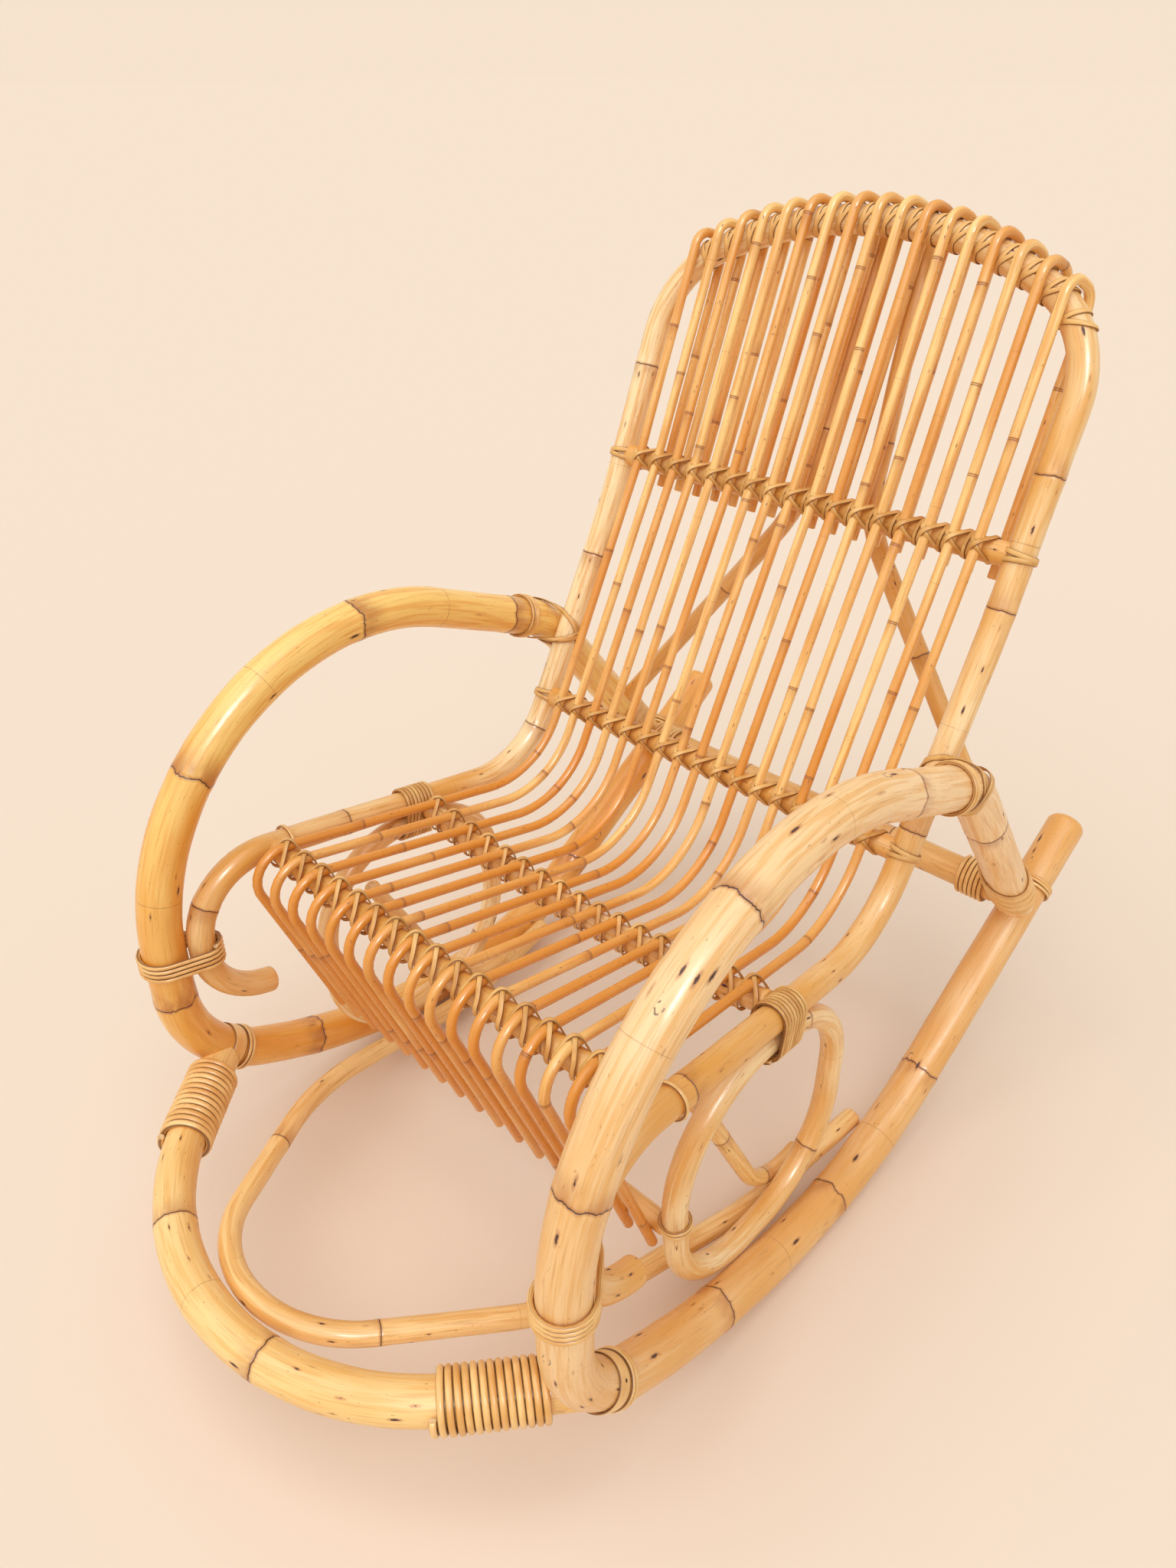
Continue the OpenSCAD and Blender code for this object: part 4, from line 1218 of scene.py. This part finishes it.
@dataclass(frozen=True)
class CrossLashing:
    """Flat cane that holds every rod on one bar: a cross over the rod, closed behind the bar.

    A strand is laid out in millimetres across, along the rod and out of the bar's axis.
    """

    name: str
    node: str
    bar: Bar
    between: bool = True
    width: float = 5.2
    thick: float = 1.9
    rod: float = 5.0
    half_x: float = 10.3
    half_d: float = 11.4
    saddle: float = 3.4
    ease: float = 1.25
    hump: float = 3.5
    round_width: float = 4.6
    round_slope: float = 1.5

    @property
    def gap(self) -> float:
        """How far the middle of a strand is off what it lies on."""
        return self.thick / 2 + 0.2

    @property
    def stand(self) -> float:
        """How far the axis of a rod is off the axis of the bar."""
        return self.bar.radius + self.rod + FIT

    def cross(self, across: int, lift: float) -> list[Vector]:
        """Points of one strand over the rod, from one side of it down to the other.

        Args:
            across: 1 where it ends on the positive side of the rod, -1 on the other.
            lift: How far it is raised where it crosses the other strand.

        Returns:
            The points.
        """
        size, wide, steps = self.bar.radius + self.gap, self.rod + self.gap, 8
        top = self.stand + math.sqrt(wide**2 - self.saddle**2)
        end = math.sqrt(size**2 - self.half_d**2)
        points = []
        for i in range(-steps, steps + 1):
            t, d = self.half_x * i / steps, self.half_d * i / steps
            if abs(t) > self.saddle:
                lean = (abs(t) - self.saddle) / (self.half_x - self.saddle)
                over = top + (end - top) * lean**self.ease
            else:
                over = self.stand + math.sqrt(wide**2 - t * t)
            rise = lift * math.exp(-((t / self.hump) ** 2))
            points.append(Vector((t * across, -d, max(math.sqrt(size**2 - d * d), over) + rise)))
        return points

    def back(self, t: float) -> list[Vector]:
        """Points behind the bar, t mm beside the rod."""
        size, steps = self.bar.radius + self.gap, 14
        start = math.asin(self.half_d / size)
        turns = [start + (math.tau - 2 * start) * i / steps for i in range(1, steps)]
        return [Vector((t, -size * math.sin(a), size * math.cos(a))) for a in turns]

    def loop(self) -> list[Vector]:
        """One closed strand round a rod and the bar."""
        under, over = self.cross(1, 0.0), self.cross(-1, self.thick + 0.1)
        raw = under + self.back(self.half_x) + over + self.back(-self.half_x)
        return [(raw[i - 1] + raw[i] * 2 + raw[(i + 1) % len(raw)]) / 4 for i in range(len(raw))]

    def build(self, sheet: RodSheet, held: Callable[[int], tuple[Vector, Vector]], paints: Paintbox) -> None:
        """Builds the lashings of the bar.

        Args:
            sheet: The rods.
            held: The point and direction of each rod on the bar.
            paints: Where the finishes come from.
        """
        skin = Skin()
        loop = self.loop()
        for k in sheet.numbers:
            point, rod = held(k)
            along = self.bar.axis(point.x)[1]
            along = (along - rod * along.dot(rod)).normalized()
            out = along.cross(rod).normalized()
            origin = point - out * self.stand * MM
            points = [origin + (along * p.x + rod * p.y + out * p.z) * MM for p in loop]
            offs = [p - origin - out * 3 * MM for p in points]
            outs = [off - along * off.dot(along) * 0.6 for off in offs]
            shade = 0.5 + 0.22 * math.sin(k * 1.7)
            skin.cane(strand(points, outs), self.width, self.thick, 8, shade, k * 0.3)
            if self.between and k < sheet.each_side:
                middle = self.bar.axis((point.x + held(k + 1)[0].x) / 2)[0]
                size = self.bar.radius + self.thick / 2 + CLEAR
                Hoop(middle, out, rod, along, size, self.round_width, self.thick, slope=self.round_slope,
                     points=28).wind(skin, 0.62, k * 0.7)
        hand_in(skin.object(self.name, [paints.of(LASHING_SKIN)]), Slot.CANE, self.node)


@dataclass(frozen=True)
class Winding:
    """Cane wound on one pole, or on two side by side, in the form that its solid has."""

    name: str
    node: str
    turns: int
    cane: float
    pitch: float
    half: float
    slim: float
    stout: float
    slant: float = 0.0
    steps: int = 28
    thick: float = 0.0

    def loop_at(self, share: float) -> tuple[float, float, float]:
        """A point of the closed outline that the cane follows, at a share of the turn.

        Args:
            share: From 0 to 1, starting at the slim pole's far side.

        Returns:
            The point's two coordinates and the turn, in radians, of its outward direction.
        """
        if self.half == 0:
            turn = share * math.tau
            return self.slim * math.cos(turn), self.slim * math.sin(turn), turn
        growth = self.stout - self.slim
        lean = math.asin(growth / (2 * self.half))
        wide, narrow = math.pi / 2 + lean, math.pi / 2 - lean
        arc_slim, arc_stout = self.slim * 2 * narrow, self.stout * 2 * wide
        run = 2 * self.half * math.cos(lean)

        def straight(turn: float, part: float) -> tuple[float, float, float]:
            """A point of the straight run on the side of a turn, at a part of it from the slim pole."""
            x = self.half + self.slim * math.cos(turn) + (growth * math.cos(turn) - 2 * self.half) * part
            return x, (self.slim + growth * part) * math.sin(turn), turn

        far = (share * (arc_slim + arc_stout + 2 * run) + arc_slim / 2) % (arc_slim + arc_stout + 2 * run)
        if far < arc_slim:
            turn = far / self.slim - narrow
            return self.half + self.slim * math.cos(turn), self.slim * math.sin(turn), turn
        far -= arc_slim
        if far < run:
            return straight(narrow, far / run)
        far -= run
        if far < arc_stout:
            turn = narrow + far / self.stout
            return self.stout * math.cos(turn) - self.half, self.stout * math.sin(turn), turn
        return straight(-narrow, 1 - (far - arc_stout) / run)

    def build(self, axis: Axis, side: Side, finish: CaneSkin, paints: Paintbox) -> None:
        """Winds the cane.

        Args:
            axis: The pole's point, two directions across it and its own, at a distance in metres.
            side: Side of the chair.
            finish: Finish of the cane.
            paints: Where the finishes come from.
        """
        points, outs, last = [], [], self.turns * self.steps
        for i in range(-2, last + 3):
            inside = max(0, min(last, i))
            x, y, turn = self.loop_at(i / self.steps)
            base, u, v, d = axis(self.pitch * MM * inside / self.steps)
            shift = self.slant * math.cos(math.tau * i / self.steps)
            points.append(side.turned(base + (u * x + v * y + d * shift) * MM))
            outs.append(side.turned(u * math.cos(turn) + v * math.sin(turn)))
        section = flat(self.cane * MM, self.thick * MM) if self.thick else round_section(self.cane / 2 * MM)
        skin = Skin()
        skin.sweep(strand(points, outs, closed=False), section, 10, seed=side.value,
                   tone=lambda far: 0.5 + 0.25 * math.sin(far * 9))
        piece = skin.object(f"{self.name}_{side.word}", [paints.of(finish), paints.of(END_GRAIN)])
        hand_in(piece, Slot.CANE, f"{self.node}_{side.word}")


@dataclass(frozen=True)
class WoundCane:
    """All the coils and wraps."""

    stretcher_peak: float = -511.1
    stretcher_height: float = 131.0
    stretcher_bend: float = 270.0
    stretcher_flat: float = 116.94
    stretcher_turn: float = 50.0
    coil_start: float = 46.0
    rear_start: Vector = mm(254, 385.3, 236.1)
    foot: Vector = mm(282, 411.4, 203.9)
    foot_way: Vector = Vector((0, 0.62932, -0.777146))
    foot_start: float = 58.0
    rail_way: Vector = Vector((-0.0437055, 0.988071, -0.147668))
    rail_down: Vector = Vector((0.00652545, -0.147524, -0.989037))
    rail_at: Vector = mm(252.8, -59.8, 342)
    rail_back: float = 19.2
    rail_to_ring: float = 26.65
    curl_at: Vector = mm(265, -333.9, 283)
    arm_at: Vector = mm(282, -366.8, 283)
    curl_back: float = 9.6

    def on_stretcher(self, far: float) -> tuple[Vector, Vector, Vector, Vector]:
        """The axis of the stretcher from the arm towards the middle, as a winding takes it."""
        out = far / MM + self.coil_start - self.stretcher_flat
        a = math.radians(self.stretcher_turn) - max(0.0, out) / self.stretcher_bend
        away = Vector((math.sin(a), -math.cos(a), 0))
        way = Vector((-math.cos(a), -math.sin(a), 0))
        base = Vector((0, self.stretcher_peak + self.stretcher_bend, self.stretcher_height))
        return (base + away * self.stretcher_bend + way * min(0.0, out)) * MM, away, Vector((0, 0, 1)), way

    @staticmethod
    def straight(base: Vector, u: Vector, v: Vector, way: Vector) -> Axis:
        """A straight axis as a winding takes it."""
        return lambda far: (base + way * far, u, v, way)

    def on_rail(self) -> Axis:
        """The axis between the rail and the ring below it."""
        top = self.rail_at - self.rail_way * self.rail_back * MM + self.rail_down * self.rail_to_ring / 2 * MM
        return self.straight(top, self.rail_down, self.rail_way.cross(self.rail_down), self.rail_way)

    def build(self, side: Side, paints: Paintbox) -> None:
        """Winds the cane of one side.

        Args:
            side: Side of the chair.
            paints: Where the finishes come from.
        """
        up, inside = Vector((0, 0, 1)), Vector((-1, 0, 0))
        off = self.curl_at - self.arm_at
        u, back = off.normalized(), self.curl_back
        curl_half = (off.length / MM + 2.0) / 2
        curl = self.straight(self.arm_at - up * back * MM + u * curl_half * MM, u, up.cross(u), up)
        rear = self.straight(self.rear_start, up, Vector((0, 1, 0)), inside)
        foot = self.straight(self.foot - self.foot_way * self.foot_start * MM, inside,
                             (-self.foot_way).cross(inside), -self.foot_way)
        for winding, axis, finish in (
            (Winding("stretcher_coil_cane", "stretcher_coil", 13, 6.7, 7.0, 0, 24.0, 24.0),
             self.on_stretcher, ROUND_CANE),
            (Winding("cross_bar_coil_cane", "crossbar_coil", 6, 5.3, 5.6, 0, 21.2, 21.2), rear, ROUND_CANE),
            (Winding("rail_wrap_cane", "rail_wrap", 8, 4.5, 4.8, self.rail_to_ring / 2, 16.6, 16.9,
                     thick=3.2), self.on_rail(), LASHING_SKIN),
            (Winding("curl_wrap_cane", "curl_wrap", 4, 4.7, 5.5, curl_half, 17.2, 25.2), curl, ROUND_CANE),
            (Winding("arm_foot_wrap_cane", "arm_foot_wrap", 13, 3.6, 4.1, 0, 24.5, 24.5, slant=20.0),
             foot, ROUND_CANE),
        ):
            winding.build(axis, side, finish, paints)


@dataclass(frozen=True)
class Band:
    """Closed rounds of cane on a pole, side by side."""

    name: str
    node: str
    start: Vector
    way: Vector
    count: int
    radius: float
    cane: float = 4.1
    gap: float = 0.25
    flatness: float = 0.8

    def build(self, side: Side, paints: Paintbox) -> None:
        """Builds the rounds on one side.

        Args:
            side: Side of the chair.
            paints: Where the finishes come from.
        """
        skin = Skin()
        way = side.turned(self.way)
        u = way.orthogonal().normalized()
        for i in range(self.count):
            centre = side.turned(self.start + self.way * (i * (self.cane + self.gap)) * MM)
            Hoop(centre, u, way.cross(u), way, self.radius + self.cane / 2 + CLEAR, self.cane,
                 self.flatness * self.cane, slope=0.5, phase=i * 2).wind(skin, 0.45 + 0.12 * i, i * 0.4)
        piece = skin.object(f"{self.name}_{side.word}", [paints.of(ROUND_CANE)])
        hand_in(piece, Slot.CANE, f"{self.node}_{side.word}")


@dataclass(frozen=True)
class ToeStrap:
    """The strap over the joint of runner and stretcher: a wide nailed band and two rounds of cane."""

    middle: Vector = mm(282, -216.8, 234.8)
    bend: float = 150.0
    pole: float = 22.0
    turns: Sizes = (43.4, 49.0, 51.1)
    widths: Sizes = (19.0, 4.4, 4.4)
    thicks: Sizes = (1.8, 3.0, 3.0)
    nail_turns: Sizes = (-0.5, 0.0, 0.5, math.pi)
    nail_shift: float = 0.9
    nail_off: float = 0.8
    nail_radius: float = 1.7
    nail_sides: int = 12

    def drive(self, nails: bmesh.types.BMesh, place: Vector, out: Vector) -> None:
        """Adds a nail with a low round head.

        Args:
            nails: The mesh that gets it.
            place: Where the head lies.
            out: The way that it faces.
        """
        turned = Matrix.Translation(place) @ out.to_track_quat("Z", "Y").to_matrix().to_4x4()
        size = self.nail_radius * MM
        rim = bmesh.ops.create_circle(
            nails, cap_ends=True, segments=self.nail_sides, radius=size, matrix=turned)["verts"]
        face = next(f for f in nails.faces if rim[0] in f.verts and len(f.verts) == self.nail_sides)
        grown = bmesh.ops.extrude_face_region(nails, geom=[face])["geom"]
        verts = [item for item in grown if isinstance(item, bmesh.types.BMVert)]
        bmesh.ops.translate(nails, verts=verts, vec=out * 0.5 * MM)
        middle = sum((vert.co for vert in verts), Vector()) / len(verts)
        bmesh.ops.scale(nails, verts=verts, vec=(0.7,) * 3, space=Matrix.Translation(-middle))

    def build(self, side: Side, paints: Paintbox) -> None:
        """Builds the strap and its nails on one side.

        Args:
            side: Side of the chair.
            paints: Where the finishes come from.
        """
        skin = Skin()
        nails = bmesh.new()
        for turn, width, thick in zip(self.turns, self.widths, self.thicks, strict=True):
            a = math.radians(turn)
            away = Vector((0, -math.cos(a), -math.sin(a)))
            way = Vector((0, math.sin(a), -math.cos(a)))
            centre = side.turned(self.middle + away * self.bend * MM)
            beside, size = way.cross(away), self.pole + CLEAR + thick / 2
            Hoop(centre, away, beside, way, size, width, thick, points=48, sides=10).wind(skin, 0.35, turn)
            if width == max(self.widths):
                for nail in self.nail_turns:
                    b = nail + side.value * self.nail_shift
                    out = away * math.cos(b) + beside * math.sin(b)
                    self.drive(nails, centre + out * (size + self.nail_off) * MM, out)
        strap = skin.object(f"toe_strap_cane_{side.word}", [paints.of(ROUND_CANE)])
        hand_in(strap, Slot.CANE, f"toe_band_{side.word}")
        bmesh.ops.recalc_face_normals(nails, faces=nails.faces)
        hand_in(add_mesh(f"toe_strap_nails_{side.word}", nails, [paints.of(NAIL_STEEL)]), Slot.CANE)


@dataclass(frozen=True)
class ArmTie:
    """Four strands of flat cane that cross over arm and back frame where they pass.

    The keys are the first course of a strand, in millimetres across, out of the arm and along it.
    """

    arm: Vector = mm(282, 187.9, 474)
    arm_way: Vector = Vector((0, 0.804, -0.595))
    arm_bend: Points = millimetres((282, 97.5, 514.5), (282, 190.2, 477.1), (282, 253.1, 399.4))
    arm_bend_radius: float = 120.0
    frame_run: Points = millimetres((245.4, 146.4, 386.5), (245.4, 239.3, 560.6))
    keys: tuple[tuple[float, float, float], ...] = (
        (24, 0, -22), (14, 20, -24), (-8, 23, -18), (-34, 19, -10), (-52, 6, -1), (-52, -6, 9),
        (-36, -20, 18), (-6, -24, 16), (16, -18, -2))
    arm_radius: float = 22.0
    frame_radius: float = 14.0
    width: float = 5.0
    thick: float = 1.5
    pulls: int = 14
    count: int = 81
    strands: tuple[tuple[float, float, float], ...] = (
        (1.0, -3.0, 0.0), (-1.0, -3.0, 1.7), (1.0, 3.0, 0.0), (-1.0, 3.0, 1.7))

    @staticmethod
    def centre(point: Vector, line: Sequence[Stop]) -> Vector:
        """The place on a pole's centre line that is nearest to a point."""
        stop = min(line, key=lambda s: (s.point - point).length_squared)
        return stop.point + stop.along * (point - stop.point).dot(stop.along)

    def poles(self, lift: float) -> list[tuple[list[Stop], float]]:
        """The centre lines of arm and frame, and how far off them a strand lies.

        Args:
            lift: How far the strand lies above the poles, in millimetres.

        Returns:
            The places along each line, and the distance in metres.
        """
        bend = Route(self.arm_bend, (0, self.arm_bend_radius * MM, 0)), self.arm_radius
        run = Route(self.frame_run, (0, 0)), self.frame_radius
        return [(route.stops([route.length * i / 60 for i in range(61)], Vector((1, 0, 0))),
                 (radius + self.thick / 2 + CLEAR + lift) * MM) for route, radius in (bend, run)]

    def first_course(self, mirrored: float, shift: float) -> list[Vector]:
        """Points of a strand before it is pulled tight.

        Args:
            mirrored: 1 where it comes down over the frame, -1 where it rises.
            shift: How far it is moved along the arm, in millimetres.

        Returns:
            The points, evenly spread over the keys.
        """
        up = Vector((0, -self.arm_way.z, self.arm_way.y))
        keys = [self.arm + (Vector((x, 0, 0)) + up * n * mirrored + self.arm_way * (a + shift)) * MM
                for x, n, a in self.keys]
        knots, made = len(keys), []
        for i in range(self.count):
            before = i * knots // self.count
            made.append(keys[before].lerp(keys[(before + 1) % knots], i * knots / self.count % 1))
        return made

    def tie(self, skin: Skin, side: Side, mirrored: float, shift: float, lift: float) -> None:
        """Adds one strand, pulled tight and kept off both poles.

        Args:
            skin: The mesh that gets it.
            side: Side of the chair.
            mirrored: 1 where it comes down over the frame, -1 where it rises.
            shift: How far it is moved along the arm, in millimetres.
            lift: How far it lies above the poles, in millimetres.
        """
        poles, count = self.poles(lift), self.count
        points = self.first_course(mirrored, shift)
        for _ in range(self.pulls):
            points = [(points[i - 1] + points[i] * 2 + points[(i + 1) % count]) / 4 for i in range(count)]
            for line, size in poles:
                for i, point in enumerate(points):
                    middle = self.centre(point, line)
                    if (point - middle).length < size:
                        points[i] = middle + (point - middle).normalized() * size
        outs = []
        for point in points:
            whole = Vector()
            for line, size in poles:
                off = point - self.centre(point, line)
                whole += off.normalized() / (max(0.0, off.length - size) + 2 * MM) ** 2
            outs.append(whole)
        stops = [Stop(side.turned(s.point), side.turned(s.along), side.turned(s.out), s.far)
                 for s in strand(points, outs)]
        skin.cane(stops, self.width, self.thick, 8, 0.45, shift + lift)

    def build(self, side: Side, paints: Paintbox) -> None:
        """Ties the arm to the back on one side."""
        skin = Skin()
        for mirrored, shift, lift in self.strands:
            self.tie(skin, side, mirrored, shift, lift)
        hand_in(skin.object(f"arm_tie_cane_{side.word}", [paints.of(LASHING_SKIN)]), Slot.CANE)


@dataclass(frozen=True)
class ArchLashing:
    """Two rounds of flat cane beside each rod on the arch: distance from the rod, and slope, of each."""

    radius: float = 14.9
    width: float = 5.0
    thick: float = 1.6
    rounds: tuple[tuple[float, float], ...] = ((8.5, 0.15), (13.0, 0.7))

    def build(self, sheet: RodSheet, paints: Paintbox) -> None:
        """Winds the cane between the rods.

        Args:
            sheet: The rods.
            paints: Where the finishes come from.
        """
        skin = Skin()
        up, front = leaning(sheet.rise)
        for k in sheet.numbers:
            for beside, slope in self.rounds:
                x = k * sheet.step + beside
                height, slant = sheet.arch_height(x)
                slant = math.copysign(slant, x)
                centre = sheet.arch + up * height * MM
                centre.x = x * MM
                along = Vector((math.cos(slant), 0, 0)) - up * math.sin(slant)
                across = Vector((math.sin(slant), 0, 0)) + up * math.cos(slant)
                Hoop(centre, front, across, along, self.radius, self.width, self.thick, level=True, points=32,
                     slope=slope * self.radius).wind(skin, 0.1 + 0.2 * math.sin(k * 2.1), k * 0.4)
        hand_in(skin.object("arch_lashing_cane", [paints.of(LASHING_SKIN)]), Slot.CANE)


@dataclass(frozen=True)
class BarEndTie:
    """Two rounds of flat cane on the frame at each bar of the back: place and slope of each."""

    radius: float = 15.6
    width: float = 5.4
    thick: float = 2.4
    rounds: tuple[tuple[float, float], ...] = ((2.9, 2.0), (-2.9, -1.5))

    def build(self, side: Side, paints: Paintbox) -> None:
        """Ties the ends of the two bars on one side."""
        skin = Skin()
        out = Vector((side.value, 0, 0))
        for bar, rise in ((UPPER_BAR, 67.5), (LOWER_BAR, 61.9)):
            up, front = leaning(rise)
            for shift, slope in self.rounds:
                Hoop(side.turned(bar.end), out, front, up, self.radius, self.width, self.thick, shift, slope,
                     -math.pi / 2, level=True).wind(skin, 0.3, shift)
        hand_in(skin.object(f"bar_end_tie_cane_{side.word}", [paints.of(LASHING_SKIN)]), Slot.CANE)


@dataclass(frozen=True)
class Sun:
    """A soft far light, with the place that it shines from: up, to the picture's left, and nearer."""

    name: str
    energy: float
    width: float
    up: float
    left: float
    toward: float
    colour: Colour = (1.0, 1.0, 1.0)
    gloss_only: bool = False

    def build(self, azimuth: float) -> None:
        """Hangs the light, as seen by a camera at an azimuth in degrees."""
        a = math.radians(azimuth)
        left, toward = Vector((-math.cos(a), -math.sin(a), 0)), Vector((math.sin(a), -math.cos(a), 0))
        source = Vector((0, 0, self.up)) + left * self.left + toward * self.toward
        lamp = bpy.data.lights.new(self.name, "SUN")
        lamp.energy, lamp.angle, lamp.color = self.energy, math.radians(self.width), self.colour
        made = add_object(self.name, lamp)
        made.matrix_world = source.to_track_quat("Z", "Y").to_matrix().to_4x4()
        made.visible_diffuse = not self.gloss_only


@dataclass(frozen=True)
class Studio:
    """Camera, floor and light."""

    stand: Vector = Vector((0.639246, -0.72536, 1.059074))
    azimuth: float = 42.912
    elevation: float = 32.398
    focal_px: float = 1495.0
    image: tuple[int, int] = (1536, 2048)
    sensor: float = 36.0
    floor: Colour = skin_colour(238, 220, 201)
    floor_half: float = 60.0
    backdrop: Colour = skin_colour(247, 227, 206)
    surround: Colour = (1.0, 0.985, 0.965)
    surround_strength: float = 0.6
    suns: tuple[Sun, ...] = (
        Sun("soft_top", 1.75, 75, up=1.0, left=0.26, toward=0.42, colour=(1.0, 0.99, 0.975)),
        Sun("window_gloss", 1.9, 14, up=0.75, left=-0.2, toward=0.8, gloss_only=True),
    )

    def camera(self) -> None:
        """Sets up the camera as the picture was taken."""
        a, e = math.radians(self.azimuth), math.radians(self.elevation)
        back = Vector((math.sin(a) * math.cos(e), -math.cos(a) * math.cos(e), math.sin(e)))
        right = Vector((math.cos(a), math.sin(a), 0))
        data = bpy.data.cameras.new("camera")
        data.sensor_width = self.sensor
        data.lens = self.focal_px / max(self.image) * data.sensor_width
        data.clip_start, data.clip_end = 0.05, 200
        made = add_object("camera", data)
        turned = Matrix((right, back.cross(right), back)).transposed().to_4x4()
        made.matrix_world = Matrix.Translation(self.stand) @ turned
        bpy.context.scene.camera = made

    def ground(self) -> None:
        """Lays the floor."""
        mesh = bmesh.new()
        bmesh.ops.create_grid(mesh, x_segments=1, y_segments=1, size=self.floor_half)
        paper = Graph("floor_paper").surface(
            {"Base Color": self.floor, "Roughness": 1.0, "Specular IOR Level": 0.0})
        add_mesh("floor", mesh, [paper])

    def lights(self) -> None:
        """Hangs a wide soft lamp and a gloss like that of a window, in an even pale surround."""
        for sun in self.suns:
            sun.build(self.azimuth)
        world = bpy.data.worlds.new("surround")
        bpy.context.scene.world = world
        world.use_nodes = True
        nodes, links = world.node_tree.nodes, world.node_tree.links
        sky = next(n for n in nodes if n.type == "BACKGROUND")
        sky.inputs["Color"].default_value = (*self.surround, 1.0)
        sky.inputs["Strength"].default_value = self.surround_strength
        seen = nodes.new("ShaderNodeBackground")
        seen.inputs["Color"].default_value = (*self.backdrop, 1.0)
        mix = nodes.new("ShaderNodeMixShader")
        rays = nodes.new("ShaderNodeLightPath")
        seen_rays = rays.outputs["Is Camera Ray"]
        for other in ("Is Glossy Ray", "Is Transmission Ray"):
            both = nodes.new("ShaderNodeMath")
            both.operation = "MAXIMUM"
            links.new(seen_rays, both.inputs[0])
            links.new(rays.outputs[other], both.inputs[1])
            seen_rays = both.outputs[0]
        for number, source in enumerate((seen_rays, sky.outputs[0], seen.outputs[0])):
            links.new(source, mix.inputs[number])
        links.new(mix.outputs[0], next(n for n in nodes if n.type == "OUTPUT_WORLD").inputs[0])
        bpy.context.scene.view_settings.view_transform = "Standard"


class RockingChair:
    """The whole chair, built in the order in which it is put together."""

    def __init__(self) -> None:
        """Takes out the finishes and lays out the rods."""
        self.paints = Paintbox()
        self.rods = RodSheet()

    def poles(self) -> None:
        """Bends all the poles."""
        for side in Side:
            ArmAndRunner().build(side, self.paints)
        SeatAndBackFrame().build(self.paints)
        LowPoles().build(self.paints)
        for bar, tone in ((UPPER_BAR, 0.75), (LOWER_BAR, 0.75), (MIDDLE_BAR, 0.6), (FRONT_BAR, 0.7)):
            bar.build(self.paints, tone)

    def seat(self) -> None:
        """Lays the rods and lashes them to their bars."""
        rods = self.rods
        rods.build(self.paints)
        for name, node, bar, held in (
            ("upper_bar_lashing_cane", "upper_bar_lashings", UPPER_BAR, self.on_upper_bar),
            ("lower_bar_lashing_cane", "lower_bar_lashings", LOWER_BAR, self.on_lower_bar),
            ("middle_bar_lashing_cane", "mid_bar_lashings", MIDDLE_BAR,
             lambda k: rods.held(k, 4, 5, MIDDLE_BAR.end.y)),
            ("front_bar_lashing_cane", "front_bar_lashings", FRONT_BAR,
             lambda k: rods.held(k, 4, 5, FRONT_BAR.end.y)),
        ):
            CrossLashing(name, node, bar, between=bar is UPPER_BAR).build(rods, held, self.paints)

    def on_upper_bar(self, k: int) -> tuple[Vector, Vector]:
        """The point of a rod on the upper bar, and its direction there."""
        points = self.rods.corners(k)
        way = (points[2] - points[3]).normalized() + (points[3] - points[4]).normalized()
        return points[3], way.normalized()

    def on_lower_bar(self, k: int) -> tuple[Vector, Vector]:
        """The point of a rod on the lower bar, and its direction there."""
        off = (LOWER_BAR.radius + self.rods.radius + FIT) * MM
        return self.rods.held(k, 3, 4, LOWER_BAR.end.y - off * math.sin(math.radians(61.9)))

    def cane(self) -> None:
        """Winds, ties and straps everything else."""
        rear = Vector((0, 0.840567, 0.541708))
        arm = Vector((0, -0.927184, 0.374607))
        lean = leaning(5.6)[1]
        rail = WoundCane.rail_way
        bands = (
            Band("runner_strap_cane", "runner_strap", mm(282, 433.6, 218.2), rear, 3, 22.0),
            Band("arm_band_cane", "arm_band", mm(282, 151.2, 492.8), arm, 3, 22.0),
            Band("low_bar_tie_cane", "apron_tie", mm(252.8, -195.5, 181.9), lean, 2, 12.0),
            Band("rail_band_cane", "rail_band", mm(260, -222.8, 366.4), rail, 1, 14.0),
        )
        ArchLashing().build(self.rods, self.paints)
        for side in Side:
            for fastening in (WoundCane(), *bands, ToeStrap(), ArmTie(), BarEndTie()):
                fastening.build(side, self.paints)


def main() -> None:
    """Builds the chair and its studio."""
    logging.basicConfig(level=logging.INFO, format="%(message)s")
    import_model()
    studio = Studio()
    studio.camera()
    studio.ground()
    studio.lights()
    chair = RockingChair()
    chair.poles()
    chair.seat()
    chair.cane()


if __name__ == "__main__":
    main()
